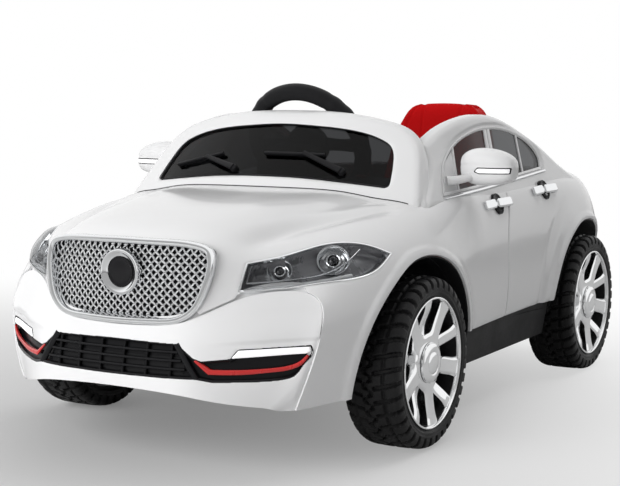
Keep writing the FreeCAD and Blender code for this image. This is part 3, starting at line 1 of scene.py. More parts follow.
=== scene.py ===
import math
import bmesh
import bpy
import numpy as np
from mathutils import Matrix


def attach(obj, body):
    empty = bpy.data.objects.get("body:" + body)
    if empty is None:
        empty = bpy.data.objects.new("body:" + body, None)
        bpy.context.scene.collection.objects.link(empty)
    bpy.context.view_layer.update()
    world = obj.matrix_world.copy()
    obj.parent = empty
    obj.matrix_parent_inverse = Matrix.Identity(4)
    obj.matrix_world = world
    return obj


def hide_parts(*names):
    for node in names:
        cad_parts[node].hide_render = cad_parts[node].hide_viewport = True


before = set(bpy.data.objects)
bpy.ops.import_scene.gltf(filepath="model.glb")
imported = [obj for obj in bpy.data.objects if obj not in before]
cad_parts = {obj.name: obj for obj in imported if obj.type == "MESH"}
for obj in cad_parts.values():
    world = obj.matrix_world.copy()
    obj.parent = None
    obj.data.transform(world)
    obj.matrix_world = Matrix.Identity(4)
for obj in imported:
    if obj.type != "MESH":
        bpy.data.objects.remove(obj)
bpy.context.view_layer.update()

print("frame loaded:", len(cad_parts), "nodes")

# Child's electric car. Lengths in millimetres until a mesh is made; +Z up, the car faces -Y.
# A grid's stations are given as (from, to, count).


# shape tools

def unit(a):
    return a / np.linalg.norm(a, axis=-1, keepdims=True)


def ease(a, low, high):
    t = np.clip((a - low) / (high - low), 0, 1)
    return t * t * (3 - 2 * t)


def bump(a, width):
    return np.exp(-(a / width) ** 2)


def frontView(p):
    return p[:, [0, 2]]


def sideView(p):
    return p[:, [1, 2]]


def leftSide(p):
    return p[:, 0] > 0


def anySide(p):
    return p[:, 0] > -1e9


def flankSide(p):
    return p[:, 0] > 200


def gridQuads(rows, cols, wrapRows=False, wrapCols=False):
    # corner numbers of every cell; columns crossed with rows is the outer side
    index = np.arange(rows * cols).reshape(rows, cols)
    if wrapRows:
        index = np.concatenate([index, index[:1]], 0)
    if wrapCols:
        index = np.concatenate([index, index[:, :1]], 1)
    return np.stack([index[:-1, :-1], index[:-1, 1:], index[1:, 1:], index[1:, :-1]], -1).reshape(-1, 4)


def smoothRun(points, count):
    # natural cubic through the points by chord length, at equal steps
    p = np.asarray(points, float)
    last = len(p) - 1
    t = np.concatenate([[0], np.cumsum(np.linalg.norm(np.diff(p, axis=0), axis=1))])
    h = np.diff(t)
    mid = np.arange(1, last)
    matrix = np.eye(last + 1)
    matrix[mid, mid - 1] = h[:-1]
    matrix[mid, mid] = 2 * (h[:-1] + h[1:])
    matrix[mid, mid + 1] = h[1:]
    right = np.zeros_like(p)
    right[1:-1] = 6 * np.diff(np.diff(p, axis=0) / h[:, None], axis=0)
    bend = np.linalg.solve(matrix, right)
    s = np.linspace(0, t[-1], count)
    k = np.clip(np.searchsorted(t, s, side="right") - 1, 0, last - 1)
    a, b, w = (t[k + 1] - s)[:, None], (s - t[k])[:, None], h[k][:, None]
    curve = (bend[k] * a ** 3 + bend[k + 1] * b ** 3) / (6 * w)
    return curve + (p[k] / w - bend[k] * w / 6) * a + (p[k + 1] / w - bend[k + 1] * w / 6) * b


def closedOutline(runs, step):
    # runs that share their ends, sampled about every step and joined without the repeats
    parts = []
    for run in runs:
        length = np.linalg.norm(np.diff(np.asarray(run, float), axis=0), axis=1).sum()
        parts.append(smoothRun(run, max(3, int(length / step) + 1))[:-1])
    return np.concatenate(parts)


def straightOutline(corners, step):
    # closed outline with straight sides between its corners
    return closedOutline([[a, b] for a, b in zip(corners, corners[1:] + corners[:1])], step)


def bothHalves(run):
    # a run from the middle outwards, continued from its mirror image
    return [(-x, z) for x, z in reversed(run[1:])] + list(run)


farOutside, farInside = 25.0, -30.0


def outlineGap(x, y, outline):
    # signed distance to a closed outline, negative inside, at most farOutside
    low, high = outline.min(0) - farOutside, outline.max(0) + farOutside
    gap = np.full(x.shape, farOutside)
    near = np.flatnonzero((x > low[0]) & (x < high[0]) & (y > low[1]) & (y < high[1]))
    if not len(near):
        return gap
    start, run = outline, np.roll(outline, -1, 0) - outline
    px, py = x[near, None] - start[:, 0], y[near, None] - start[:, 1]
    share = np.clip((px * run[:, 0] + py * run[:, 1]) / (run ** 2).sum(1), 0, 1)
    reach = np.sqrt(((px - share * run[:, 0]) ** 2 + (py - share * run[:, 1]) ** 2).min(1))
    rise = np.where(np.abs(run[:, 1]) < 1e-9, 1e-9, run[:, 1])
    crossed = ((py >= 0) != (py >= run[:, 1])) & (px < py / rise * run[:, 0])
    gap[near] = np.where(crossed.sum(1) % 2 == 1, -reach, reach)
    return np.minimum(gap, farOutside)


def gapTo(pick, outline, grow=0.0):
    # cut for a sheet: how far a point is outside an outline, in two picked coordinates
    return lambda p: outlineGap(*pick(p).T, outline) + grow


def gapBetween(pick, outer, inner):
    # cut for a frame: outside the outer outline or inside the inner one
    return lambda p: np.maximum(outlineGap(*pick(p).T, outer), -outlineGap(*pick(p).T, inner))


def splineRows(count, t):
    # clamped uniform cubic weights: one row for each parameter, one column for each control point
    knots = np.concatenate([np.zeros(3), np.linspace(0, 1, count - 2), np.ones(3)])
    t = np.clip(t, 0, 1 - 1e-9)[:, None]
    rows = ((t >= knots[:-1]) & (t < knots[1:])).astype(float)
    for degree in (1, 2, 3):
        span = knots[degree:] - knots[:-degree]
        rise = np.where(span > 0, (t - knots[:-degree]) / np.where(span > 0, span, 1), 0)
        fall = np.where(span > 0, 1 - rise, 0)
        rows = rise[:, :-1] * rows[:, :-1] + fall[:, 1:] * rows[:, 1:]
    return rows


def netSurface(half):
    # cubic sheet of a half control net and its mirror image, u along the rows and v across
    half = np.asarray(half, float)
    net = np.concatenate([half[:, :0:-1] * (-1, 1, 1), half], 1)
    rows, cols = net.shape[:2]

    def place(u, v):
        lengthwise = splineRows(rows, u) @ net.reshape(rows, -1)
        return (splineRows(cols, v)[:, :, None] * lengthwise.reshape(-1, cols, 3)).sum(1)
    return place


def sheetNormals(place, u, v, du, dv):
    across = place(u, v + dv) - place(u, v - dv)
    lengthwise = place(u + du, v) - place(u - du, v)
    return unit(np.cross(across, lengthwise))


def freeEdges(quads, size):
    edges = quads[:, [[0, 1], [1, 2], [2, 3], [3, 0]]].reshape(-1, 2)
    key = edges.min(1) * size + edges.max(1)
    first, count = np.unique(key, return_index=True, return_counts=True)[1:]
    return edges[first[count == 1]]


def trimmedSheet(place, uLine, vLine, cut, reach=8.0):
    # grid of a sheet without its cells where cut > 0; corners along a cut slide onto cut = 0
    u, v = (a.ravel() for a in np.meshgrid(uLine, vLine, indexing="ij"))
    du, dv = np.ptp(uLine) * 1e-4, np.ptp(vLine) * 1e-4
    over = cut(place(u, v))
    quads = gridQuads(len(uLine), len(vLine))
    quads = quads[over[quads].mean(1) < 0]
    edge = np.unique(freeEdges(quads, len(u)))
    edge = edge[np.abs(over[edge]) < reach]
    slid = np.zeros(len(u), bool)
    slid[edge] = True
    for _ in range(6):
        p = place(u[edge], v[edge])
        g = cut(p)
        pu, pv = place(u[edge] + du, v[edge]), place(u[edge], v[edge] + dv)
        gu, gv = (cut(pu) - g) / du, (cut(pv) - g) / dv
        lu, lv = (((pu - p) / du) ** 2).sum(1) + 1e-9, (((pv - p) / dv) ** 2).sum(1) + 1e-9
        pull = np.clip(g, -2.5, 2.5) / (gu ** 2 / lu + gv ** 2 / lv + 1e-9)
        u[edge] = np.clip(u[edge] - pull * gu / lu, uLine[0], uLine[-1])
        v[edge] = np.clip(v[edge] - pull * gv / lv, vLine[0], vLine[-1])
    keep, quads = np.unique(quads, return_inverse=True)
    u, v = u[keep], v[keep]
    return place(u, v), quads.reshape(-1, 4), sheetNormals(place, u, v, du, dv), slid[keep]


def thicken(points, quads, normals, wall):
    # outer sheet, the same sheet a wall deeper, and a rim along every free edge
    size = len(points)
    free = freeEdges(quads, size)
    rim = np.stack([free[:, 1], free[:, 0], free[:, 0] + size, free[:, 1] + size], 1)
    faces = np.concatenate([quads, quads[:, ::-1] + size, rim])
    return np.concatenate([points, points - normals * wall]), faces


def findOn(place, pick, targets, side):
    # parameters at which two picked coordinates of a net sheet meet the targets: nearest sample, then Newton
    line = np.linspace(0.003, 0.997, 110)
    u, v = (a.ravel() for a in np.meshgrid(line, line, indexing="ij"))
    p = place(u, v)
    allowed = side(p)
    u, v, p = u[allowed], v[allowed], p[allowed]
    near = ((targets[:, None] - pick(p)[None]) ** 2).sum(2).argmin(1)
    u, v = u[near], v[near]
    for _ in range(8):
        q = pick(place(u, v))
        a, b = (pick(place(u + 1e-4, v)) - q) / 1e-4, (pick(place(u, v + 1e-4)) - q) / 1e-4
        miss = targets - q
        area = a[:, 0] * b[:, 1] - a[:, 1] * b[:, 0]
        u = np.clip(u + (miss[:, 0] * b[:, 1] - miss[:, 1] * b[:, 0]) / area, 0, 1)
        v = np.clip(v + (a[:, 0] * miss[:, 1] - a[:, 1] * miss[:, 0]) / area, 0, 1)
    return u, v


def netPatch(place, pick, outline, side, cell, wall, lift, way):
    # part of a net sheet inside an outline, raised by lift(distance inside) along way and given a wall
    u, v = findOn(place, pick, outline, side)
    p = place(u, v)
    pad = 0.012
    lengths = [np.abs(p - place(u + s * 1e-3, v + t * 1e-3)).max() * 1e3 for s, t in ((1, 0), (0, 1))]
    uLine = np.linspace(max(u.min() - pad, 0), min(u.max() + pad, 1), int(np.ptp(u) * lengths[0] / cell) + 6)
    vLine = np.linspace(max(v.min() - pad, 0), min(v.max() + pad, 1), int(np.ptp(v) * lengths[1] / cell) + 6)

    def cut(q):
        return np.where(side(q), outlineGap(*pick(q).T, outline), farOutside)
    points, quads, _, _ = trimmedSheet(place, uLine, vLine, cut, cell * 2)
    inside = np.maximum(-cut(points), 0)
    push = np.broadcast_to(np.asarray(way, float), points.shape)
    return thicken(points + push * lift(inside)[:, None], quads, push, wall)


def sweep(path, out, profile, closed=False, towards=None, scale=None):
    # place = path + side * sideways + lift * out, for a closed profile of (side, lift) pairs
    path = np.asarray(path, float)
    out = np.broadcast_to(np.asarray(out, float), path.shape)
    ahead = unit(np.roll(path, -1, 0) - np.roll(path, 1, 0)) if closed else unit(np.gradient(path, axis=0))
    out = unit(out - (out * ahead).sum(1, keepdims=True) * ahead)
    sideways = np.cross(ahead, out)
    if towards is not None and ((np.asarray(towards, float) - path) * sideways).sum() < 0:
        sideways = -sideways
    profile = np.asarray(profile, float)
    if scale is not None:
        profile = profile * np.asarray(scale, float)[:, None, None]
    profile = np.broadcast_to(profile, (len(path),) + profile.shape[-2:])
    points = path[:, None] + profile[..., :1] * sideways[:, None] + profile[..., 1:] * out[:, None]
    if not closed:
        ends = [np.repeat(points[k].mean(0)[None, None], points.shape[1], 1) for k in (0, -1)]
        points = np.concatenate([ends[0], points, ends[1]])
    return points, gridQuads(len(points), points.shape[1], closed, True)


def roundProfile(half, height, power=2.0, count=16):
    # superellipse of half width and half height
    t = np.linspace(0, 2 * math.pi, count, endpoint=False)
    c, s = np.cos(t), np.sin(t)
    return np.stack([half * np.sign(c) * np.abs(c) ** (2 / power),
                     height * np.sign(s) * np.abs(s) ** (2 / power)], 1)


def lathe(profile, centre, axis, steps=96, loop=False):
    # (along, radius) pairs turned about an axis; radius 0 makes a pole
    profile = np.asarray(profile, float)
    axis = unit(np.asarray(axis, float))
    first = unit(np.cross(axis, (0.31, 0.52, 0.79)))
    turn = np.linspace(0, 2 * math.pi, steps, endpoint=False)[:, None]
    ring = np.cos(turn) * first + np.sin(turn) * np.cross(axis, first)
    points = np.asarray(centre, float) + profile[None, :, :1] * axis + profile[None, :, 1:] * ring[:, None]
    return points, gridQuads(steps, len(profile), True, loop)


def otherSide(shape):
    points, quads = shape
    return points.reshape(-1, 3) * (-1, 1, 1), quads[:, ::-1]


def bothSides(shapes):
    return shapes + [otherSide(shape) for shape in shapes]


sides = (("Left", lambda shape: shape), ("Right", otherSide))


def makePiece(name, shapes, finish, body, slotName, stands=(), sharp=40):
    # shapes joined into one mesh in metres, doubles merged, faces outwards, on its body
    allPoints, allQuads, start = [], [], 0
    for points, quads in shapes:
        points = points.reshape(-1, 3)
        a, b, c, d = (points[quads[:, k]] for k in range(4))
        volume = (np.cross(a, b) * c).sum() + (np.cross(a, c) * d).sum()
        allPoints.append(points * 0.001)
        allQuads.append((quads if volume > 0 else quads[:, ::-1]) + start)
        start += len(points)
    points, quads = np.concatenate(allPoints), np.concatenate(allQuads)
    mesh = bpy.data.meshes.new(name)
    mesh.vertices.add(len(points))
    mesh.vertices.foreach_set("co", points.ravel())
    mesh.loops.add(quads.size)
    mesh.loops.foreach_set("vertex_index", quads.ravel().astype(np.int32))
    mesh.polygons.add(len(quads))
    mesh.polygons.foreach_set("loop_start", np.arange(0, quads.size, 4, dtype=np.int32))
    mesh.update(calc_edges=True)
    joined = bmesh.new()
    joined.from_mesh(mesh)
    bmesh.ops.remove_doubles(joined, verts=joined.verts, dist=2e-6)
    joined.to_mesh(mesh)
    joined.free()
    mesh.validate()
    mesh.shade_smooth()
    mesh.set_sharp_from_angle(angle=math.radians(sharp))
    piece = bpy.data.objects.new(name, mesh)
    bpy.context.scene.collection.objects.link(piece)
    mesh.materials.append(finish)
    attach(piece, body)
    if stands:
        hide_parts(*stands)
    return piece


# finishes

def nodeGroup(name, inputs, outputs):
    group = bpy.data.node_groups.new(name, "ShaderNodeTree")
    for label, kind, value in inputs:
        group.interface.new_socket(label, in_out="INPUT", socket_type=kind).default_value = value
    for label, kind in outputs:
        group.interface.new_socket(label, in_out="OUTPUT", socket_type=kind)
    return group, group.nodes.new("NodeGroupInput"), group.nodes.new("NodeGroupOutput")


def addNode(tree, kind, settings=(), **sockets):
    node = tree.nodes.new(kind)
    for key, value in dict(settings).items():
        setattr(node, key, value)
    for key, value in sockets.items():
        socket = node.inputs[int(key[1:])] if key[0] == "i" and key[1:].isdigit() else node.inputs[key]
        if isinstance(value, bpy.types.NodeSocket):
            tree.links.new(value, socket)
        else:
            socket.default_value = value
    return node


def mathNode(tree, operation, *values):
    sockets = {"i" + str(k): value for k, value in enumerate(values)}
    return addNode(tree, "ShaderNodeMath", {"operation": operation}, **sockets).outputs[0]


def makeToneDrift():
    # colour times a slow noise about 1
    tree, given, result = nodeGroup("toneDrift", [("Colour", "NodeSocketColor", (1, 1, 1, 1)),
                                                  ("Patch", "NodeSocketFloat", 6.0),
                                                  ("Spread", "NodeSocketFloat", 0.1)],
                                    [("Colour", "NodeSocketColor")])
    where = addNode(tree, "ShaderNodeTexCoord")
    noise = addNode(tree, "ShaderNodeTexNoise", Vector=where.outputs["Object"],
                    Scale=given.outputs["Patch"], Detail=5.0)
    centred = mathNode(tree, "SUBTRACT", noise.outputs["Fac"], 0.5)
    spread = mathNode(tree, "MULTIPLY_ADD", centred, given.outputs["Spread"], 1.0)
    scaled = addNode(tree, "ShaderNodeVectorMath", {"operation": "SCALE"}, i0=given.outputs["Colour"],
                     Scale=spread)
    tree.links.new(scaled.outputs[0], result.inputs[0])
    return tree


def makeHandling():
    # roughness between two values: soft smears with fine rubbed streaks
    tree, given, result = nodeGroup("handling", [("Low", "NodeSocketFloat", 0.2),
                                                 ("High", "NodeSocketFloat", 0.4),
                                                 ("Patch", "NodeSocketFloat", 12.0)],
                                    [("Roughness", "NodeSocketFloat")])
    where = addNode(tree, "ShaderNodeTexCoord")
    smear = addNode(tree, "ShaderNodeTexNoise", Vector=where.outputs["Object"],
                    Scale=given.outputs["Patch"], Detail=3.0)
    stretch = addNode(tree, "ShaderNodeMapping", Vector=where.outputs["Object"], Scale=(90, 400, 90))
    streak = addNode(tree, "ShaderNodeTexNoise", Vector=stretch.outputs[0], Scale=1.0, Detail=2.0)
    both = mathNode(tree, "MULTIPLY_ADD", streak.outputs["Fac"], 0.3, smear.outputs["Fac"])
    ranged = addNode(tree, "ShaderNodeMapRange", i0=both, i1=0.45, i2=0.85,
                     i3=given.outputs["Low"], i4=given.outputs["High"])
    tree.links.new(ranged.outputs[0], result.inputs[0])
    return tree


def makeMouldGrain():
    # height of a moulded or rolled skin: pebbles and a finer noise
    tree, given, result = nodeGroup("mouldGrain", [("Scale", "NodeSocketFloat", 900.0),
                                                   ("Pebble", "NodeSocketFloat", 0.5)],
                                    [("Height", "NodeSocketFloat")])
    where = addNode(tree, "ShaderNodeTexCoord")
    pebble = addNode(tree, "ShaderNodeTexVoronoi", Vector=where.outputs["Object"],
                     Scale=given.outputs["Scale"])
    noise = addNode(tree, "ShaderNodeTexNoise", Vector=where.outputs["Object"],
                    Scale=given.outputs["Scale"], Detail=2.0)
    mixed = mathNode(tree, "MULTIPLY_ADD", pebble.outputs["Distance"], given.outputs["Pebble"],
                     noise.outputs["Fac"])
    tree.links.new(mixed, result.inputs[0])
    return tree


def makeFloorDust():
    # colour with pale dust near the ground, in patches
    tree, given, result = nodeGroup("floorDust", [("Colour", "NodeSocketColor", (0, 0, 0, 1)),
                                                  ("Dust", "NodeSocketColor", (0.3, 0.29, 0.27, 1)),
                                                  ("Top", "NodeSocketFloat", 0.2),
                                                  ("Amount", "NodeSocketFloat", 0.1)],
                                    [("Colour", "NodeSocketColor")])
    where = addNode(tree, "ShaderNodeTexCoord")
    split = addNode(tree, "ShaderNodeSeparateXYZ", Vector=where.outputs["Object"])
    low = addNode(tree, "ShaderNodeMapRange", i0=split.outputs["Z"], i1=given.outputs["Top"], i2=0.0,
                  i3=0.0, i4=1.0)
    patch = addNode(tree, "ShaderNodeTexNoise", Vector=where.outputs["Object"], Scale=35.0, Detail=6.0)
    mask = mathNode(tree, "MULTIPLY", low.outputs[0], patch.outputs["Fac"])
    share = addNode(tree, "ShaderNodeMath", {"operation": "MULTIPLY", "use_clamp": True}, i0=mask,
                    i1=given.outputs["Amount"])
    mix = addNode(tree, "ShaderNodeMix", {"data_type": "RGBA"}, i0=share.outputs[0],
                  i6=given.outputs["Colour"], i7=given.outputs["Dust"])
    tree.links.new(mix.outputs[2], result.inputs[0])
    return tree


toneDrift = makeToneDrift()
handling = makeHandling()
mouldGrain = makeMouldGrain()
floorDust = makeFloorDust()


def makeFinish(name, colour, spread=0.08, patch=7.0, rough=(0.3, 0.45), smear=14.0, grain=(900.0, 0.4, 0.15),
               dust=None, plain=()):
    finish = bpy.data.materials.new(name)
    finish.use_nodes = True
    finish.diffuse_color = (*colour, 1)
    tree = finish.node_tree
    shader = tree.nodes["Principled BSDF"]
    tone = addNode(tree, "ShaderNodeGroup", {"node_tree": toneDrift}, Colour=(*colour, 1), Patch=patch,
                   Spread=spread)
    last = tone.outputs[0]
    if dust:
        dusty = addNode(tree, "ShaderNodeGroup", {"node_tree": floorDust}, Colour=last, Top=dust[0],
                        Amount=dust[1])
        last = dusty.outputs[0]
    tree.links.new(last, shader.inputs["Base Color"])
    gloss = addNode(tree, "ShaderNodeGroup", {"node_tree": handling}, Low=rough[0], High=rough[1],
                    Patch=smear)
    tree.links.new(gloss.outputs[0], shader.inputs["Roughness"])
    skin = addNode(tree, "ShaderNodeGroup", {"node_tree": mouldGrain}, Scale=grain[0], Pebble=grain[1])
    relief = addNode(tree, "ShaderNodeBump", Strength=grain[2], Distance=0.0006, Height=skin.outputs[0])
    tree.links.new(relief.outputs[0], shader.inputs["Normal"])
    for socket, value in dict(plain).items():
        shader.inputs[socket].default_value = value
    return finish


whiteGloss = makeFinish("whiteGloss", (0.80, 0.80, 0.805), 0.03, 3.0, (0.16, 0.26), 6.0, (260.0, 0.1, 0.02),
                        plain={"Coat Weight": 0.3, "Coat Roughness": 0.05})
blackMoulded = makeFinish("blackMoulded", (0.012, 0.012, 0.013), 0.3, 12.0, (0.40, 0.56), 18.0,
                          (1300.0, 0.8, 0.3), dust=(0.22, 0.04), plain={"Specular IOR Level": 0.14})
blackGloss = makeFinish("blackGloss", (0.008, 0.008, 0.009), 0.2, 9.0, (0.16, 0.28), 14.0, (700.0, 0.2, 0.03),
                        plain={"Specular IOR Level": 0.2})
brightPlate = makeFinish("brightPlate", (0.86, 0.87, 0.88), 0.04, 9.0, (0.05, 0.12), 16.0, (300.0, 0.1, 0.02),
                         plain={"Metallic": 1.0})
wheelPlate = makeFinish("wheelPlate", (0.90, 0.905, 0.91), 0.05, 9.0, (0.09, 0.18), 16.0, (300.0, 0.1, 0.03),
                        plain={"Metallic": 1.0})
lampBowl = makeFinish("lampBowl", (0.29, 0.29, 0.30), 0.5, 25.0, (0.22, 0.38), 30.0, (500.0, 0.3, 0.06),
                      plain={"Metallic": 0.45, "Specular IOR Level": 0.25})
smokedLens = makeFinish("smokedLens", (0.57, 0.575, 0.58), 0.04, 15.0, (0.01, 0.04), 20.0, (200.0, 0.1, 0.01),
                        plain={"Transmission Weight": 1.0, "IOR": 1.03, "Specular IOR Level": 0.1})
clearLens = makeFinish("clearLens", (0.88, 0.89, 0.90), 0.03, 30.0, (0.08, 0.16), 30.0, (500.0, 0.6, 0.08),
                       plain={"Coat Weight": 0.6})
stripLens = makeFinish("stripLens", (0.93, 0.93, 0.94), 0.02, 30.0, (0.08, 0.16), 30.0, (500.0, 0.6, 0.05),
                       plain={"Emission Color": (1, 1, 1, 1), "Emission Strength": 0.28})
bulbGlass = makeFinish("bulbGlass", (0.02, 0.021, 0.024), 0.2, 60.0, (0.02, 0.05), 40.0, (300.0, 0.1, 0.01),
                       plain={"Coat Weight": 1.0})
redLens = makeFinish("redLens", (0.42, 0.012, 0.014), 0.12, 25.0, (0.07, 0.15), 25.0, (420.0, 0.7, 0.10),
                     plain={"Coat Weight": 0.8})
screenTint = makeFinish("screenTint", (0.036, 0.037, 0.039), 0.04, 9.0, (0.01, 0.05), 12.0,
                        (200.0, 0.1, 0.01), plain={"Transmission Weight": 1.0, "IOR": 1.22})
tintedPane = makeFinish("tintedPane", (0.062, 0.064, 0.067), 0.08, 5.0, (0.01, 0.05), 7.0, (120.0, 0.1, 0.01),
                        plain={"Transmission Weight": 1.0, "IOR": 1.22})
redGloss = makeFinish("redGloss", (0.56, 0.022, 0.020), 0.1, 20.0, (0.22, 0.34), 20.0, (900.0, 0.3, 0.05),
                      plain={"Coat Weight": 0.3})
redSeatSkin = makeFinish("redSeatSkin", (0.55, 0.006, 0.007), 0.10, 9.0, (0.42, 0.56), 16.0,
                         (520.0, 1.0, 0.3), plain={"Specular IOR Level": 0.06})
tyreSkin = makeFinish("tyreSkin", (0.009, 0.009, 0.0095), 0.35, 20.0, (0.34, 0.52), 22.0, (1100.0, 0.7, 0.3),
                      dust=(0.26, 0.03), plain={"Specular IOR Level": 0.19})
greySteel = makeFinish("greySteel", (0.42, 0.43, 0.44), 0.12, 20.0, (0.28, 0.45), 40.0, (800.0, 0.2, 0.15),
                       plain={"Metallic": 1.0})
mirrorFace = makeFinish("mirrorFace", (0.80, 0.82, 0.84), 0.02, 9.0, (0.01, 0.03), 9.0, (90.0, 0.1, 0.004),
                        plain={"Metallic": 1.0})
caseGrey = makeFinish("caseGrey", (0.10, 0.105, 0.11), 0.15, 12.0, (0.4, 0.55), 20.0, (1000.0, 0.8, 0.25))
print("finishes made")


# body shell

bodyNet = [
    [(0, -598, 203), (60, -597, 204), (114, -588, 210), (165, -543, 246), (225, -500, 255),
     (266, -486, 240), (268, -502, 195), (258, -510, 150), (246, -516, 115), (236, -516, 90)],
    [(0, -594, 258), (62, -592, 258), (122, -578, 262), (162, -542, 272), (218, -494, 285),
     (282, -446, 265), (294, -440, 205), (288, -446, 160), (280, -450, 125), (272, -448, 96)],
    [(0, -582, 316), (64, -578, 315), (126, -563, 310), (164, -535, 296), (220, -462, 306),
     (292, -405, 294), (316, -392, 238), (314, -392, 180), (306, -392, 130), (296, -392, 98)],
    [(0, -515, 340), (70, -511, 339), (130, -498, 333), (174, -470, 306), (230, -402, 322),
     (296, -345, 304), (330, -338, 248), (331, -338, 182), (322, -338, 130), (312, -338, 98)],
    [(0, -415, 354), (78, -412, 354), (138, -402, 350), (186, -385, 326), (242, -330, 334),
     (302, -290, 311), (335, -284, 257), (335, -284, 187), (326, -284, 130), (316, -284, 98)],
    [(0, -315, 363), (84, -312, 363), (146, -304, 360), (196, -290, 341), (248, -262, 345),
     (302, -232, 320), (332, -225, 264), (332, -225, 192), (324, -225, 132), (315, -225, 98)],
    [(0, -228, 368), (88, -225, 367), (154, -218, 364), (206, -208, 355), (250, -195, 350),
     (296, -175, 325), (324, -165, 268), (325, -165, 197), (320, -165, 142), (313, -165, 112)],
    [(0, -120, 370), (88, -120, 369), (154, -120, 366), (207, -120, 361), (262, -120, 356),
     (294, -110, 344), (315, -105, 275), (319, -105, 203), (317, -105, 155), (313, -105, 128)],
    [(0, 0, 374), (88, 0, 373), (154, 0, 368), (207, 0, 364), (261, 0, 360),
     (289, 0, 350), (307, 0, 284), (313, 0, 212), (312, 0, 162), (307, 0, 140)],
    [(0, 150, 376), (88, 150, 374), (154, 150, 370), (206, 150, 367), (259, 150, 364),
     (287, 150, 354), (303, 150, 288), (309, 150, 217), (308, 150, 165), (303, 150, 140)],
    [(0, 280, 378), (88, 280, 376), (152, 280, 372), (204, 280, 370), (258, 280, 367),
     (287, 280, 356), (306, 280, 293), (312, 280, 218), (309, 280, 160), (302, 280, 130)],
    [(0, 409, 380), (86, 409, 378), (150, 409, 375), (200, 409, 373), (254, 409, 370),
     (290, 405, 357), (322, 405, 294), (328, 405, 222), (322, 405, 160), (311, 405, 118)],
    [(0, 505, 376), (84, 504, 374), (146, 503, 371), (196, 500, 369), (248, 498, 365),
     (285, 494, 350), (312, 490, 288), (318, 490, 217), (311, 490, 160), (300, 490, 110)],
    [(0, 585, 364), (80, 583, 363), (140, 580, 360), (184, 576, 357), (224, 566, 352),
     (260, 552, 333), (283, 546, 277), (288, 546, 212), (281, 546, 160), (271, 546, 108)],
    [(0, 612, 338), (74, 611, 337), (128, 609, 335), (168, 606, 332), (204, 598, 325),
     (232, 586, 307), (246, 580, 267), (250, 580, 211), (245, 580, 160), (238, 580, 108)],
]
bodyShell = {"wall": 4.0, "lip": 0.9, "frontRows": 165, "rearRows": 105, "columns": 301,
             "groove": [(37, 150), (41, 190), (47, 235), (59, 285), (80, 322), (92, 345), (94, 380)],
             "grooveDepth": 2.4, "grooveWidth": 1.7, "grooveTop": 352.0, "skirt": 148.0, "archRadius": 155.0,
             "axles": (-284.0, 409.0), "axleHeight": 125.0, "cockpit": (232.0, -165.0, 474.0, 45.0),
             "cockpitFoot": 300.0, "skirtX": 200.0, "noseY": -520.0,
             "crease": [(-535, 146), (-500, 162), (-421, 182), (-370, 203), (-314, 225), (-242, 250)]}
grille = {"half": [(0, 313), (70, 312), (116, 308), (131, 301), (135, 288), (130, 255), (117, 226),
                   (100, 213), (60, 207), (0, 206)],
          "bow": 0.00118, "rake": 0.00125, "foot": 203.0, "nose": -598.0, "pitch": 11.0, "middle": 259.5,
          "latticeBack": 14.4, "weave": 0.9, "latticeEdge": 6.5, "plateBack": 18.0,
          "plateZ": (204, 315, 60), "plateX": (-138, 138, 140)}
headlamp = {"points": [(164, -544, 248), (167.6, -529, 285.5), (206, -485, 295), (236, -431, 306),
                       (271, -386, 303), (297.5, -358, 289), (295, -403, 268), (273, -451, 260),
                       (214, -509, 251)],
            "axis": (0.42, -0.72, 0.55), "lensWall": 3.0, "depth": 17.0, "region": (135.0, -320.0, 225.0),
            "projectors": [((203, -503, 279), 13.0), ((252, -443, 290), 17.0)]}

lampAxis = unit(np.array(headlamp["axis"]))
lampSide = unit(np.cross(lampAxis, (0, 0, 1)))
lampUp = np.cross(lampSide, lampAxis)


def lampView(p):
    # a point as seen along the lamp's axis, either side brought to the left
    q = p * np.sign(p[:, :1] + 1e-9) ** np.array([1, 0, 0])
    return np.stack([q @ lampSide, q @ lampUp], 1)


lampPoints = lampView(np.array(headlamp["points"]))
lampOutline = closedOutline([lampPoints[:2], lampPoints[1:6],
                             np.concatenate([lampPoints[5:], lampPoints[:1]])], 2.0)
grilleRun = grille["half"] + [(-x, z) for x, z in reversed(grille["half"][1:-1])] + [(0, 313)]
grilleOutline = closedOutline([grilleRun], 2.0)


def lampRegion(p):
    inner, rear, foot = headlamp["region"]
    return (np.abs(p[:, 0]) > inner) & (p[:, 1] < rear) & (p[:, 2] > foot)


def leftLamp(p):
    return lampRegion(p) & leftSide(p)


def bodyCut(p):
    # how far a point is inside an opening of the shell: cockpit, wheel arches, grille, lamps
    half, front, rear, corner = bodyShell["cockpit"]
    pastY = np.abs(p[:, 1] - (front + rear) / 2) - (rear - front) / 2 + corner
    q = np.stack([np.abs(p[:, 0]) - half + corner, pastY], 1)
    cockpit = np.linalg.norm(np.maximum(q, 0), axis=1) + np.minimum(q.max(1), 0) - corner
    over = np.where(p[:, 2] > bodyShell["cockpitFoot"], -cockpit, farInside)
    for axle in bodyShell["axles"]:
        ring = np.hypot(p[:, 1] - axle, p[:, 2] - bodyShell["axleHeight"])
        over = np.maximum(over, bodyShell["archRadius"] - ring)
    frontAxle, rearAxle = bodyShell["axles"]
    between = (p[:, 1] > frontAxle) & (p[:, 1] < rearAxle) & (np.abs(p[:, 0]) > bodyShell["skirtX"])
    over = np.maximum(over, np.where(between, bodyShell["skirt"] - p[:, 2], farInside))
    mouth = outlineGap(p[:, 0], p[:, 2], grilleOutline)
    over = np.maximum(over, np.where(p[:, 1] < bodyShell["noseY"], -mouth, farInside))
    lamp = outlineGap(*lampView(p).T, lampOutline)
    return np.maximum(over, np.where(lampRegion(p), -lamp, farInside))


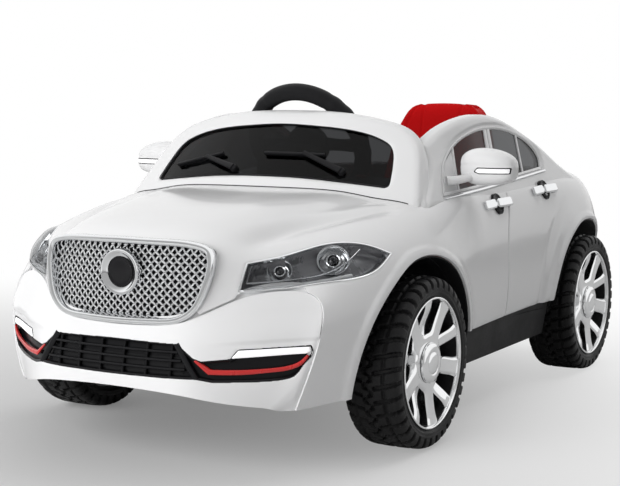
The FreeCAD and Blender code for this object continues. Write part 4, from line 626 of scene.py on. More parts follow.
bodyLines = {"flankX": (255.0, 268.0), "outerX": 200.0, "grooveFade": 5.0,
             "creaseRise": 1.6, "riseAt": 26.0, "riseWidth": 13.0, "creaseFall": 3.4, "fallWidth": 12.0,
             "bonnetFrom": (-535.0, -470.0), "bonnetTo": (-275.0, -225.0), "bonnetFoot": 270.0,
             "archRoll": 2.4, "rollRun": (9.0, 14.0),
             "step": 1.6, "stepAt": 19.0, "stepWidth": 3.0,
             "stepY": (-250.0, -190.0), "stepZ": (235.0, 275.0),
             "flare": 4.0, "flareRun": (40.0, 56.0), "flareY": (330.0, 400.0), "flareZ": (270.0, 335.0),
             "flareGroove": 1.8, "flareGrooveAt": 58.0, "flareGrooveWidth": 5.0}
grooveRun = smoothRun(bodyShell["groove"], 60)


def grooveLine(z):
    # the door groove runs forward as it goes down
    return np.interp(z, grooveRun[:, 1], grooveRun[:, 0])


def bodyRelief(p):
    # moves along the normal: door groove, bonnet creases, rolled arch edges,
    # a step behind the front arch and a flare before the rear one
    top = bodyShell["grooveTop"]
    flank = ease(np.abs(p[:, 0]), *bodyLines["flankX"])
    flank = flank * (1 - ease(p[:, 2], top - bodyLines["grooveFade"], top))
    move = -bodyShell["grooveDepth"] * bump(p[:, 1] - grooveLine(p[:, 2]), bodyShell["grooveWidth"]) * flank
    crease = np.abs(p[:, 0]) - np.interp(p[:, 1], *np.array(bodyShell["crease"], float).T)
    bonnet = ease(p[:, 1], *bodyLines["bonnetFrom"]) * (1 - ease(p[:, 1], *bodyLines["bonnetTo"]))
    bonnet = bonnet * (p[:, 2] > bodyLines["bonnetFoot"])
    rise = bodyLines["creaseRise"] * bump(crease + bodyLines["riseAt"], bodyLines["riseWidth"])
    fall = bodyLines["creaseFall"] * bump(crease, bodyLines["fallWidth"])
    move = move + (rise - fall) * bonnet
    outer = np.abs(p[:, 0]) > bodyLines["outerX"]
    rings = [np.hypot(p[:, 1] - axle, p[:, 2] - bodyShell["axleHeight"]) - bodyShell["archRadius"]
             for axle in bodyShell["axles"]]
    for ring in rings:
        move = move + bodyLines["archRoll"] * (1 - ease(ring, *bodyLines["rollRun"])) * outer
    behind = ease(p[:, 1], *bodyLines["stepY"]) * (1 - ease(p[:, 2], *bodyLines["stepZ"])) * outer
    move = move - bodyLines["step"] * bump(rings[0] - bodyLines["stepAt"], bodyLines["stepWidth"]) * behind
    before = (1 - ease(p[:, 1], *bodyLines["flareY"])) * (1 - ease(p[:, 2], *bodyLines["flareZ"])) * outer
    flare = bodyLines["flare"] * (1 - ease(rings[1], *bodyLines["flareRun"]))
    fromGroove = rings[1] - bodyLines["flareGrooveAt"]
    groove = bodyLines["flareGroove"] * bump(fromGroove, bodyLines["flareGrooveWidth"])
    return move + (flare - groove) * before


bodyPlace = netSurface(bodyNet)
uSamples = np.linspace(0.4, 0.85, 300)
vBody = np.linspace(0, 1, bodyShell["columns"])


def grooveStations():
    # u of the door groove at stations across
    line = np.linspace(0, 1, 101)
    u, w = (a.ravel() for a in np.meshgrid(uSamples, line, indexing="ij"))
    p = bodyPlace(u, w)
    ahead = (p[:, 1] - grooveLine(p[:, 2])).reshape(len(uSamples), -1)
    first = np.argmax(ahead > 0, axis=0)
    column = np.arange(len(line))
    low, high = ahead[first - 1, column], ahead[first, column]
    found = uSamples[first - 1] - low / (high - low) * (uSamples[1] - uSamples[0])
    return line, found


grooveRows = {"reach": 0.12, "clear": 0.007, "step": 0.00062, "steps": [7.0, 5.0, 3.6, 2.6, 1.8, 1.1, 0.5]}
grooveV, grooveU = grooveStations()
uGroove = float(np.mean(grooveU))


def doorPlace(u, v):
    # the body's sheet with its lines bent so that one of them is the door groove
    near = np.clip(1 - np.abs(u - uGroove) / grooveRows["reach"], 0, 1)
    return bodyPlace(u + near * (np.interp(v, grooveV, grooveU) - uGroove), v)


# rows of the two shells, closer together towards the groove
nearGroove = np.array(grooveRows["steps"]) * grooveRows["step"]
rowsBefore = np.linspace(0, uGroove - grooveRows["clear"], bodyShell["frontRows"])
rowsAfter = np.linspace(uGroove + grooveRows["clear"], 1, bodyShell["rearRows"])
for name, uLine in (("bodyFront", np.concatenate([rowsBefore, uGroove - nearGroove, [uGroove]])),
                    ("bodyRear", np.concatenate([[uGroove], uGroove + nearGroove[::-1], rowsAfter]))):
    points, quads, normals, slid = trimmedSheet(doorPlace, uLine, vBody, bodyCut)
    move = bodyRelief(points) - bodyShell["lip"] * slid
    shell = thicken(points + normals * move[:, None], quads, normals, bodyShell["wall"])
    makePiece(name, [shell], whiteGloss, "car", "white_body", ["body_shell"])
archLiner = {"wellX": 294.0, "radius": 153.6, "wall": 2.0, "from": 4.0, "to": 176.0, "skinEdge": 155.5,
             "skinGap": 1.5, "least": 6.0, "steps": 90, "across": 8}
liners = []
for axle in bodyShell["axles"]:
    # ruled strip about the axle, from the well's edge out to the skin
    turn = np.radians(np.linspace(archLiner["from"], archLiner["to"], archLiner["steps"]))
    around = np.stack([0 * turn, np.cos(turn), np.sin(turn)], 1)
    centre = np.array([0, axle, bodyShell["axleHeight"]])
    u, v = findOn(bodyPlace, sideView, sideView(centre + archLiner["skinEdge"] * around), flankSide)
    skin = bodyPlace(u, v)[:, 0] - archLiner["skinGap"]
    share = np.linspace(0, 1, archLiner["across"])[:, None]
    x = np.minimum(archLiner["wellX"], skin - archLiner["least"]) * (1 - share) + skin * share
    strip = centre + archLiner["radius"] * around + x[..., None] * (1, 0, 0)
    flat = np.broadcast_to(-around, strip.shape).reshape(-1, 3)
    quads = gridQuads(archLiner["across"], archLiner["steps"])
    liners.append(thicken(strip.reshape(-1, 3), quads, flat, -archLiner["wall"]))
makePiece("archLiners", bothSides(liners), blackMoulded, "car", "black_plastic")
print("body shell made")


# bumpers

frontRows = [
    [(0, -604, 186), (58, -603, 186), (113, -596, 188), (164, -561, 214), (216, -524, 220),
     (251, -504, 205), (258, -511, 176), (250, -515, 138), (240, -518, 109), (230, -518, 90)],
    [(0, -609, 165), (57, -608, 165), (112, -601, 166), (162, -574, 176), (210, -541, 176),
     (241, -519, 170), (249, -518, 150), (244, -519, 125), (235, -521, 103), (226, -521, 90)],
    [(0, -613, 142), (57, -612, 142), (113, -607, 141), (160, -583, 140), (204, -551, 140),
     (233, -527, 138), (241, -523, 130), (238, -522, 113), (231, -523, 99), (222, -524, 90)],
    [(0, -613, 119), (58, -612.5, 118), (116, -609, 115), (152, -590, 106), (187, -562, 99),
     (205, -545, 96), (211, -540, 94), (214, -536, 92), (216, -532, 91), (218, -528, 90)],
]
rearRows = [
    [(0, 616, 300), (72, 615, 300), (126, 613, 298), (164, 610, 296), (198, 603, 290),
     (224, 593, 275), (236, 588, 243), (238, 587, 198), (234, 585, 154), (231, 583, 108)],
    [(0, 612, 245), (70, 611, 245), (122, 609, 243), (159, 606, 241), (190, 602, 236),
     (214, 594, 224), (228, 590, 205), (231, 588, 175), (230, 586, 144), (227, 585, 107.6)],
    [(0, 617, 185), (66, 616, 185), (117, 614, 184), (154, 611, 182), (185, 605, 178),
     (209, 597, 171), (222, 592, 160), (226, 590, 145), (226, 588, 128), (223, 587, 107.3)],
    [(0, 610, 130), (62, 610, 130), (112, 608, 129), (150, 604, 128), (180, 599, 126),
     (202, 593, 123), (214, 590, 120), (219, 589, 117), (221, 588, 113), (219, 588, 107)],
    [(0, 598, 105), (60, 598, 105), (110, 596, 105), (150, 594, 105), (176, 592, 105),
     (192, 591, 105), (202, 590, 105), (208, 590, 105.4), (212, 589, 106), (215, 589, 106.7)],
]
bumpers = {"wall": 4.5, "shut": 3.0, "lip": 0.8, "columns": 261,
           "brow": 3.4, "browFoot": 174.0, "browFrom": 175.0, "browSlope": 0.056,
           "browRise": (5.0, 12.0), "browFade": (14.0, 48.0), "browX": (118.0, 205.0)}
mouth = {"runs": [[(0, 182), (101, 180)], [(101, 180), (124, 162)], [(124, 162), (134, 158.7)],
                  [(134, 158.7), (168, 162)], [(168, 162), (175, 174)], [(175, 174), (255, 178.5)],
                  [(255, 178.5), (257, 172), (249, 155), (238, 139), (221, 133.5), (190, 132)],
                  [(190, 132), (150, 132)], [(150, 132), (130, 136)], [(130, 136), (0, 135)]],
         "plateDepth": 9.0, "bars": (147.5, 158.5, 169.5), "posts": (-93, -56, -19, 19, 56, 93),
         "barHalf": 2.0, "barDeep": 3.0, "barBack": 4.0, "barReach": 118.0, "barFoot": 140.0,
         "barTaper": 0.55, "postRun": (135, 181), "postBack": 5.5,
         "cheekX": (100, 130), "cheekZ": (180, 136), "cheekHalf": 4.5, "cheekBack": 2.5,
         "returnWall": [(-1.0, -0.6), (1.2, -0.4), (2.6, -1.6), (3.0, -10.0), (-1.0, -10.0)]}
fogStrip = {"points": [(169, 163), (176, 173.2), (253.5, 177.2), (255, 172), (250, 168.5)], "proud": 1.2,
            "wall": 3.0}
redStrip = {"points": [(128, 161), (147, 148.5), (188, 148), (212, 149.5), (233, 153), (245, 159.5),
                       (251, 166.5), (253, 164.5), (247, 155), (234, 147.5), (212, 144), (188, 142),
                       (145, 142.5), (126, 159.5)],
            "proud": 1.2, "wall": 3.5}
tailLamp = {"points": [(118, 268), (124, 306), (205, 301), (221, 276), (214, 258)], "proud": 2.0, "wall": 8.0}


def shutRow(row, inward):
    # a body end row set back by the shut line: down under its top edge, in beside the flanks
    shut = bumpers["shut"]
    top = [(x, y + inward, z - shut) for x, y, z in row[:5]]
    return top + [(x - shut, y + inward, z) for x, y, z in row[5:]]


frontPlace = netSurface(([shutRow(bodyNet[0], 1.0)] + frontRows)[::-1])
rearPlace = netSurface([shutRow(bodyNet[-1], -1.0)] + rearRows)
mouthRuns = mouth["runs"] + [[(-x, z) for x, z in reversed(run)] for run in reversed(mouth["runs"])]
mouthOutline = closedOutline(mouthRuns, 2.0)
tailOutline = straightOutline(tailLamp["points"], 2.0)


def frontCut(p):
    return -outlineGap(p[:, 0], p[:, 2], mouthOutline)


def rearCut(p):
    return -outlineGap(np.abs(p[:, 0]), p[:, 2], tailOutline)


def frontRelief(p):
    # a brow over each bright strip, proud of the strip and fading upwards
    x = np.abs(p[:, 0])
    above = p[:, 2] - bumpers["browFoot"] - (x - bumpers["browFrom"]) * bumpers["browSlope"]
    rise = bumpers["brow"] * ease(above, *bumpers["browRise"])
    fade = 1 - ease(above, *bumpers["browFade"])
    return rise * fade * ease(x, *bumpers["browX"])


for name, place, cut, rows, node in (("frontBumper", frontPlace, frontCut, 84, "front_bumper"),
                                     ("rearBumper", rearPlace, rearCut, 90, "rear_bumper")):
    uLine, vLine = np.linspace(0, 1, rows), np.linspace(0, 1, bumpers["columns"])
    points, quads, normals, slid = trimmedSheet(place, uLine, vLine, cut, 6.0)
    relief = frontRelief(points) if place is frontPlace else 0.0
    points = points + normals * (relief - bumpers["lip"] * slid)[:, None]
    shell = thicken(points, quads, normals, bumpers["wall"])
    makePiece(name, [shell], whiteGloss, "car", "white_body", [node])
# white return flange behind the bumper's top edge: three rows, each (inwards, upwards) of that edge
flangeRows = [(1.0, -1.5), (5.0, 2.0), (6.5, 14.0)]
edgeV = np.linspace(0.06, 0.94, 240)
topEdge = frontPlace(np.ones(240), edgeV)
edgeOut = sheetNormals(frontPlace, np.full(240, 0.995), edgeV, 1e-3, 1e-3)
flange = np.concatenate([topEdge - edgeOut * inwards + (0, 0, upwards) for inwards, upwards in flangeRows])
flangeShape = thicken(flange, gridQuads(len(flangeRows), 240), np.tile(edgeOut, (len(flangeRows), 1)), 2.0)
makePiece("bumperFlange", [flangeShape], whiteGloss, "car", "white_body")


def onFront(x, z, back):
    # points of the front bumper's skin at the stations given, moved back
    u, v = findOn(frontPlace, frontView, np.stack([x, z], 1), anySide)
    return frontPlace(u, v) + (0, back, 0)


mouthPath = onFront(*mouthOutline.T, 0.0)
backPlate = netPatch(frontPlace, frontView, mouthOutline, anySide, 3.0, 2.5,
                     lambda d: 0 * d - mouth["plateDepth"], (0, -1, 0))
returnWall = sweep(mouthPath, (0, -1, 0), mouth["returnWall"], True)
bars = []
barProfile = roundProfile(mouth["barHalf"], mouth["barDeep"], 3.0, 10)
for z in mouth["bars"]:
    reach = mouth["barReach"] - (z - mouth["barFoot"]) * mouth["barTaper"]
    x = np.linspace(-reach, reach, 40)
    bars.append(sweep(onFront(x, np.full(40, z), mouth["barBack"]), (0, -1, 0), barProfile))
for x in mouth["posts"]:
    z = np.linspace(*mouth["postRun"], 12)
    bars.append(sweep(onFront(np.full(12, float(x)), z, mouth["postBack"]), (0, -1, 0), barProfile))
cheekProfile = roundProfile(mouth["cheekHalf"], mouth["barDeep"], 3.0, 12)
for side in (-1, 1):
    x, z = np.linspace(*mouth["cheekX"], 14) * side, np.linspace(*mouth["cheekZ"], 14)
    bars.append(sweep(onFront(x, z, mouth["cheekBack"]), (0, -1, 0), cheekProfile))
makePiece("lowerGrille", [backPlate, returnWall] + bars, blackGloss, "car", "gloss_black", ["lower_grille"])
fogOutline = straightOutline(fogStrip["points"], 1.5)
redRuns = redStrip["points"]
redOutline = closedOutline([redRuns[:2], redRuns[1:7], redRuns[6:8], redRuns[7:13], redRuns[12:14],
                            [redRuns[-1], redRuns[0]]], 1.5)
for name, strip, outline, finish, slotName, node in (
        ("fogStrips", fogStrip, fogOutline, stripLens, "bright_trim", "fog_strips"),
        ("bumperRedTrim", redStrip, redOutline, redGloss, "red_plastic", "bumper_red_trim")):
    half = netPatch(frontPlace, frontView, outline, leftSide, 1.3, strip["wall"],
                    lambda d, top=strip["proud"]: top * np.sqrt(np.clip(d / 2.0, 0, 1)), (0, -1, 0))
    makePiece(name, bothSides([half]), finish, "car", slotName, [node])
tail = netPatch(rearPlace, frontView, tailOutline, leftSide, 1.6, tailLamp["wall"],
                lambda d: tailLamp["proud"] * np.sqrt(np.clip(d / 5.0, 0, 1)) + 0.25 * np.cos(d * 1.1),
                (0, 1, 0))
makePiece("tailLamps", bothSides([tail]), redLens, "car", "red_lens", ["tail_lamps"])
print("bumpers made")


# grille

def nosePlace(z, x):
    # bowed sheet of the nose: y = nose + rake (z - foot)^2 + bow x^2
    y = grille["nose"] + grille["rake"] * np.maximum(z - grille["foot"], 0) ** 2 + grille["bow"] * x ** 2
    return np.stack([x, y, z], 1)


noseMiddle = (0, -595, 260)
surroundPath = nosePlace(grilleOutline[:, 1], grilleOutline[:, 0])
surroundProfile = [(-4.2, -9.0), (-4.2, 0.8), (-3.4, 2.6), (-1.6, 3.6), (1.6, 3.6), (3.2, 2.8), (4.0, 1.4),
                   (4.4, -1.0), (6.2, -6.0), (6.8, -19.0)]
surround = sweep(surroundPath, (0, -1, 0), surroundProfile, True, noseMiddle)
makePiece("grilleSurround", [surround], brightPlate, "car", "bright_trim", ["grille_surround"], 50)
wires = []
wireProfile = roundProfile(1.65, 1.5, 2.4, 8)
reachLine = np.linspace(-230, 230, 1841)
for way in (1, -1):
    for k in range(-32, 33):
        # a wire at 45 degrees across the mouth, over and under the wires that cross it
        x = reachLine / math.sqrt(2)
        z = grille["middle"] + way * (x - k * grille["pitch"])
        inside = np.flatnonzero(outlineGap(x, z, grilleOutline) < -grille["latticeEdge"])
        if len(inside) < 30:
            continue
        x = np.linspace(x[inside[0]], x[inside[-1]], max(8, len(inside) // 7))
        z = grille["middle"] + way * (x - k * grille["pitch"])
        phase = (x - way * (z - grille["middle"])) / grille["pitch"] + 2 * x / grille["pitch"] - k
        weave = grille["weave"] * way * np.cos(math.pi * phase)
        path = nosePlace(z, x) + np.stack([0 * x, grille["latticeBack"] - weave, 0 * x], 1)
        wires.append(sweep(path, (0, -1, 0), wireProfile))
makePiece("grilleLattice", wires, brightPlate, "car", "bright_trim", ["grille_mesh"])
points, quads, normals, _ = trimmedSheet(
    nosePlace, np.linspace(*grille["plateZ"]), np.linspace(*grille["plateX"]),
    gapTo(frontView, grilleOutline, 2.0), 4.0)
backPlate = thicken(points + (0, grille["plateBack"], 0), quads, normals, 2.0)
makePiece("grilleBack", [backPlate], blackMoulded, "car", "black_plastic")
badge = {"centre": (0, -582.5, 269.4),
         "ring": [(-2.5, 31.6), (4.0, 31.6), (6.0, 30.9), (6.8, 29.6), (6.6, 28.4), (5.2, 26.8),
                  (2.6, 23.6), (2.0, 21.6), (-2.5, 21.6)],
         "disc": [(-2.0, 0), (-2.0, 21.5), (1.8, 21.4), (2.6, 21.0), (3.0, 20.4), (2.6, 19.8), (2.8, 14),
                  (3.2, 7), (3.3, 0)]}
badgeRing = lathe(badge["ring"], badge["centre"], (0, -1, 0), 96, True)
badgeDisc = lathe(badge["disc"], badge["centre"], (0, -1, 0), 96)
makePiece("badgeRing", [badgeRing], brightPlate, "car", "bright_trim", ["grille_badge"])
makePiece("badgeDisc", [badgeDisc], blackGloss, "car", "gloss_black")
print("grille made")


# headlamps

lampParts = {"cell": 2.2, "bulge": 6.5, "bulgeRun": 20.0, "lensBack": 0.4, "bowlBack": 3.6, "bowlWall": 2.0,
             "trim": [(-0.4, -6.0), (-0.4, 0.2), (0.5, 0.8), (1.9, 0.4), (2.4, -0.6), (2.6, -6.0)],
             "seatBack": 19.0,
             "cone": [(1.0, 0.80), (2.0, 0.98), (9.0, 1.22), (9.6, 1.26), (9.6, 1.32), (1.0, 1.10)],
             "ring": [(0.0, 0.62), (8.0, 0.62), (8.8, 0.55), (8.0, 0.47), (0.0, 0.47)],
             "bulb": 0.45, "bulbRise": 0.34, "bulbFoot": 5.0,
             "strip": [(176, -537, 253.5), (214, -507, 256), (254, -470, 262), (278, -438, 269)],
             "stripBack": 6.0,
             "innerFrame": [[(173, -525, 282), (171.5, -536, 260.5)],
                            [(171.5, -536, 260.5), (218, -501, 264.5), (243, -478, 268), (254, -464, 272),
                             (265.5, -439, 281.5), (270, -416, 292), (270, -402, 297.5)]],
             "frameBack": 5.0}


def lensLift(d):
    # bulges from the edge inwards as a quarter sine
    inwards = np.clip(d / lampParts["bulgeRun"], 0, 1)
    return lampParts["bulge"] * np.sin(inwards * math.pi / 2) - lampParts["lensBack"]


def bowlLift(d):
    # falls from the edge to the floor of the bowl
    return -lampParts["bowlBack"] - headlamp["depth"] * ease(d, -1, 13)


def onLamp(run, count, back):
    # smooth run laid on the body's sheet along the lamp's axis, moved back
    u, v = findOn(bodyPlace, lampView, lampView(smoothRun(run, count)), leftLamp)
    return bodyPlace(u, v) - lampAxis * back


for name, lift, wall, finish, slotName, node in (
        ("headlampLens", lensLift, headlamp["lensWall"], smokedLens, "lamp_lens", "headlight_lens_"),
        ("headlampBowl", bowlLift, lampParts["bowlWall"], lampBowl, "lamp_inside", "headlight_housing_")):
    shape = netPatch(bodyPlace, lampView, lampOutline, leftLamp, lampParts["cell"], wall, lift, lampAxis)
    for side, turn in sides:
        makePiece(name + side, [turn(shape)], finish, "car", slotName, [node + side.lower()])
u, v = findOn(bodyPlace, lampView, lampOutline, leftLamp)
lampPath = bodyPlace(u, v)
rings = [sweep(lampPath, lampAxis, lampParts["trim"], True, lampPath.mean(0))]
bulbs = []
for place, radius in headlamp["projectors"]:
    seat = np.array(place) - lampAxis * lampParts["seatBack"]
    for profile in (lampParts["cone"], lampParts["ring"]):
        rings.append(lathe(np.array(profile) * (1, radius), seat, lampAxis, 64, True))
    t = np.linspace(0, math.pi / 2, 9)
    along = lampParts["bulbFoot"] + radius * lampParts["bulbRise"] * np.cos(t)
    dome = np.stack([along, radius * lampParts["bulb"] * np.sin(t)], 1).tolist()
    bulbs.append(lathe(dome + [(0, radius * lampParts["bulb"]), (0, 0)], seat, lampAxis, 48))
lenses = [sweep(onLamp(lampParts["strip"], 40, lampParts["stripBack"]), lampAxis,
                roundProfile(2.6, 2.0, 2.5, 10))]
# the inner frame runs down the lamp's inner end, along its lower edge and up beside the larger projector
for run in lampParts["innerFrame"]:
    path = onLamp(run, 60, lampParts["frameBack"])
    rings.append(sweep(path, lampAxis, roundProfile(0.9, 2.4, 2.5, 10)))
makePiece("headlampRings", bothSides(rings), brightPlate, "car", "bright_trim", ["headlight_projectors"])
makePiece("headlampBulbs", bothSides(bulbs), bulbGlass, "car", "gloss_black")
makePiece("headlampStrips", bothSides(lenses), clearLens, "car", "lamp_lens")
print("headlamps made")


# windscreen

screen = {"frameTop": [(0, 483), (90, 479.5), (160, 468), (199, 455.5), (218, 443), (231, 429), (241, 410),
                       (248, 391), (255, 372), (262, 350), (265, 330)],
          "glassTop": [(0, 462), (60, 459.3), (115, 454), (156, 445.5), (180, 436.5), (192, 429),
                       (200, 418.5), (205, 406), (210, 388), (213, 374)],
          "corner": [(213, 374), (212.4, 370), (208.5, 367.8), (199, 368.2)],
          "foot": [(199, 368.2), (130, 375.3), (66, 380), (0, 381.2)],
          "low": 330.0, "start": -275.8, "rake": 0.9529, "bow": 0.000927, "proud": 6.0, "depth": 20.0,
          "glassBack": 2.0, "glassZ": (365, 464, 52), "glassX": (-216, 216, 132),
          "frameZ": (340, 484, 62), "frameX": (-266, 266, 212),
          "edgeFall": 4.0, "edgeRun": 8.0, "glassFall": 2.2, "glassRun": 5.0,
          "gasket": [(-0.4, -2.5), (-0.4, 1.2), (1.4, 1.6), (3.0, 0.6), (3.0, -2.5)]}


def screenPlace(z, x):
    # raked and bowed sheet: y = start + rake (z - low) + bow x^2
    y = screen["start"] + screen["rake"] * (z - screen["low"]) + screen["bow"] * x ** 2
    return np.stack([x, y, z], 1)


screenOut = unit(np.array([0, -1.0, screen["rake"]]))
frameEnd = screen["frameTop"][-1]
frameFoot = [frameEnd, (-frameEnd[0], frameEnd[1])]
frameOutline = closedOutline([bothHalves(screen["frameTop"]), frameFoot], 2.5)
otherCorner = [(-x, z) for x, z in reversed(screen["corner"])]
glassOutline = closedOutline([bothHalves(screen["glassTop"]), screen["corner"],
                              bothHalves(screen["foot"][::-1])[::-1], otherCorner], 2.5)
# the frame falls away in a curve at its outer edge and at the glass
points, quads, normals, _ = trimmedSheet(
    screenPlace, np.linspace(*screen["frameZ"]), np.linspace(*screen["frameX"]),
    gapBetween(frontView, frameOutline, glassOutline), 6.0)
edgeIn = -outlineGap(*frontView(points).T, frameOutline)
glassOut = outlineGap(*frontView(points).T, glassOutline)
edgeFall = screen["edgeFall"] * (1 - np.clip(edgeIn / screen["edgeRun"], 0, 1)) ** 2
glassFall = screen["glassFall"] * (1 - np.clip(glassOut / screen["glassRun"], 0, 1)) ** 2
lift = screen["proud"] - edgeFall - glassFall
points = points + np.stack([0 * lift, -lift, 0 * lift], 1)
frameShape = thicken(points, quads, np.broadcast_to((0, -1.0, 0), points.shape), screen["depth"] - 3.0)
makePiece("windscreenFrame", [frameShape], whiteGloss, "car", "white_body", ["windscreen_frame"])
points, quads, normals, _ = trimmedSheet(
    screenPlace, np.linspace(*screen["glassZ"]), np.linspace(*screen["glassX"]),
    gapTo(frontView, glassOutline, 0.3), 6.0)
glassShape = thicken(points + (0, screen["glassBack"], 0), quads, normals, 3.0)
makePiece("windscreenGlass", [glassShape], screenTint, "car", "tinted_pane", ["windscreen_glass"])
gasketPath = screenPlace(glassOutline[:, 1], glassOutline[:, 0]) + (0, 1.4, 0)
gasket = sweep(gasketPath, screenOut, screen["gasket"], True, (0, -190, 415))
makePiece("windscreenGasket", [gasket], blackMoulded, "car", "black_plastic")
# painted shade: a thin black strip where the frame's face meets the bonnet stands in for the shadow in that
# seam
x = np.linspace(-250, 250, 130)
z = np.full(130, 360.0)
for _ in range(8):
    face = np.stack([x, screenPlace(z, x)[:, 1] - screen["proud"]], 1)
    u, v = findOn(bodyPlace, lambda p: p[:, :2], face, lambda p: p[:, 1] < 0)
    z = bodyPlace(u, v)[:, 2]
# black sweep that paints the seam's shadow
cowlShadeLine = sweep(bodyPlace(u, v), (0, -0.7, 0.7), roundProfile(1.2, 0.9, 2.5, 8))
makePiece("cowlShadeLine", [cowlShadeLine], blackMoulded, "car", "black_plastic")
wipers = {"places": [{"pivot": (134, 388.5), "knee": (62, 414.5), "end": (-7, 414), "tail": (98, 412.5)},
                     {"pivot": (-54, 390), "knee": (-120, 405), "end": (-180, 391), "tail": (-88, 411.5)}],
          "boss": [(0.3, 0), (0.3, 6.2), (4.0, 6.2), (7.0, 5.4), (8.2, 3.5), (8.6, 0)],
          "armLift": 6.0, "bladeLift": 4.2, "lipLift": 0.9}


def onScreen(start, end, count, lift):
    # straight run over the glass between two (x, z) stations, lifted off it
    x, z = np.linspace(start[0], end[0], count), np.linspace(start[1], end[1], count)
    return screenPlace(z, x) + screenOut * lift


wiperShapes = []
for wiper in wipers["places"]:
    base = onScreen(wiper["pivot"], wiper["pivot"], 1, 0.0)[0] + (0, screen["glassBack"], 0)
    arm = onScreen(wiper["pivot"], wiper["knee"], 12, wipers["armLift"])
    blade = onScreen(wiper["tail"], wiper["end"], 24, wipers["bladeLift"])
    lip = onScreen(wiper["tail"], wiper["end"], 24, wipers["lipLift"])
    wiperShapes.append(lathe(wipers["boss"], base, screenOut, 32))
    wiperShapes.append(sweep(arm, screenOut, roundProfile(4.4, 2.4, 3.6, 12),
                             scale=np.linspace(1.2, 0.8, 12)))
    wiperShapes.append(sweep(blade, screenOut, roundProfile(2.3, 2.2, 3.0, 12)))
    wiperShapes.append(sweep(lip, screenOut, roundProfile(0.8, 2.6, 3.0, 8)))
makePiece("wiperArms", wiperShapes, blackMoulded, "car", "black_plastic", ["wipers"])
print("windscreen made")


# side arches and windows

arch = {"crest": [(-117, 432), (-95, 440.6), (-65, 452.7), (-26, 464.2), (30, 473.5), (100, 476),
                  (177, 465), (244, 444), (322, 413), (374, 386), (418, 367), (452, 352), (474, 337)],
        "front": [(-189, 335), (-186, 345), (-153, 373), (-133, 393), (-122, 410), (-117, 432)],
        "foot": 335.0, "skin": 289.0, "lean": 0.335, "low": 330.0, "wall": 16.0, "tuck": (12.0, 18.0),
        "tuckFoot": 347.0, "tuckRise": 85.0, "tuckRun": (-190.0, 40.0),
        "windowTop": [(-88.5, 399.5), (-61, 418), (-19, 437.5), (40, 451), (96, 455), (166, 452),
                      (230, 439), (279, 417), (295, 395), (287, 377)],
        "windowFront": (-123, 353.5), "paneBack": 5.0, "paneWall": 3.0, "edgeFall": 5.0, "edgeRun": 11.0,
        "paneFall": 3.0, "paneRun": (1.0, 9.0),
        "archZ": (335, 477, 62), "archY": (-195, 485, 242),
        "paneZ": (350, 458, 48), "paneY": (-148, 304, 140),
        "quarterZ": (353, 426, 40), "quarterY": (-121, -38, 48),
        "bars": [(90, 456, 63, 366, 6.0), (104, 456, 77, 367, 6.0), (217, 441, 199, 372, 3.0),
                 (-39.5, 429.3, -68, 357, 2.6)],
        "quarter": [(-118, 356), (-103.5, 375.3), (-88, 394.5), (-72, 405.2), (-41, 423.3), (-59, 381),
                    (-68, 360)]}


def archPlace(z, y):
    # leaning sheet, its front tucked in behind the windscreen frame: x = skin - lean (z - low) - tuck
    foot, more = arch["tuck"]
    upwards = np.clip((z - arch["tuckFoot"]) / arch["tuckRise"], 0, 1.1)
    tuck = (foot + more * upwards) * (1 - ease(y, *arch["tuckRun"]))
    return np.stack([arch["skin"] - arch["lean"] * (z - arch["low"]) - tuck, y, z], 1)


archOut = unit(np.array([1.0, 0, arch["lean"]]))
rearFoot = (arch["crest"][-1][0], arch["foot"])
archOutline = closedOutline([arch["crest"], [arch["crest"][-1], rearFoot], [rearFoot, arch["front"][0]],
                             arch["front"]], 2.5)
windowOutline = closedOutline([arch["windowTop"], [arch["windowTop"][-1], arch["windowFront"]],
                               [arch["windowFront"], (-106.5, 375), arch["windowTop"][0]]], 2.5)
points, quads, normals, _ = trimmedSheet(archPlace, np.linspace(*arch["archZ"]), np.linspace(*arch["archY"]),
                                         gapBetween(sideView, archOutline, windowOutline), 6.0)
edgeIn = -outlineGap(*sideView(points).T, archOutline)
paneOut = outlineGap(*sideView(points).T, windowOutline)
edgeFall = arch["edgeFall"] * (1 - np.clip(edgeIn / arch["edgeRun"], 0, 1)) ** 2
paneFall = arch["paneFall"] * (1 - ease(paneOut, *arch["paneRun"]))
lift = -edgeFall - paneFall
points = points + archOut * lift[:, None]
archShape = thicken(points, quads, np.broadcast_to((1.0, 0, 0), points.shape), arch["wall"] - 2.0)
points, quads, normals, _ = trimmedSheet(archPlace, np.linspace(*arch["paneZ"]), np.linspace(*arch["paneY"]),
                                         gapTo(sideView, windowOutline, 0.3), 6.0)
paneShape = thicken(points - (arch["paneBack"], 0, 0), quads, normals, arch["paneWall"])
windowPath = archPlace(windowOutline[:, 1], windowOutline[:, 0])
beadProfile = [(-0.6, -1.8), (-0.6, 0.8), (0.4, 1.6), (3.4, 1.2), (4.4, 0.2), (4.6, -1.8)]
paneMiddle = archPlace(np.array([410.0]), np.array([90.0]))[0]
beading = sweep(windowPath - archOut * 3.0, archOut, beadProfile, True, paneMiddle)


def paneBar(y0, z0, y1, z1, half):
    # bar over the pane between two stations
    y, z = np.linspace(y0, y1, 14), np.linspace(z0, z1, 14)
    return sweep(archPlace(z, y) - archOut * 4.0, archOut, roundProfile(half, 1.8, 3.0, 12))


paneBars = [paneBar(*bar) for bar in arch["bars"]]
quarterOutline = straightOutline(arch["quarter"], 2.5)
points, quads, normals, _ = trimmedSheet(
    archPlace, np.linspace(*arch["quarterZ"]), np.linspace(*arch["quarterY"]),
    gapTo(sideView, quarterOutline), 5.0)
paneBars.append(thicken(points - archOut * 4.2, quads, normals, 2.0))
sill = smoothRun([(-124.5, 351.3), (296, 375)], 60)
chrome = sweep(archPlace(sill[:, 1] - 2.0, sill[:, 0]) + archOut * 0.4, archOut,
               roundProfile(2.0, 1.6, 3.0, 12))
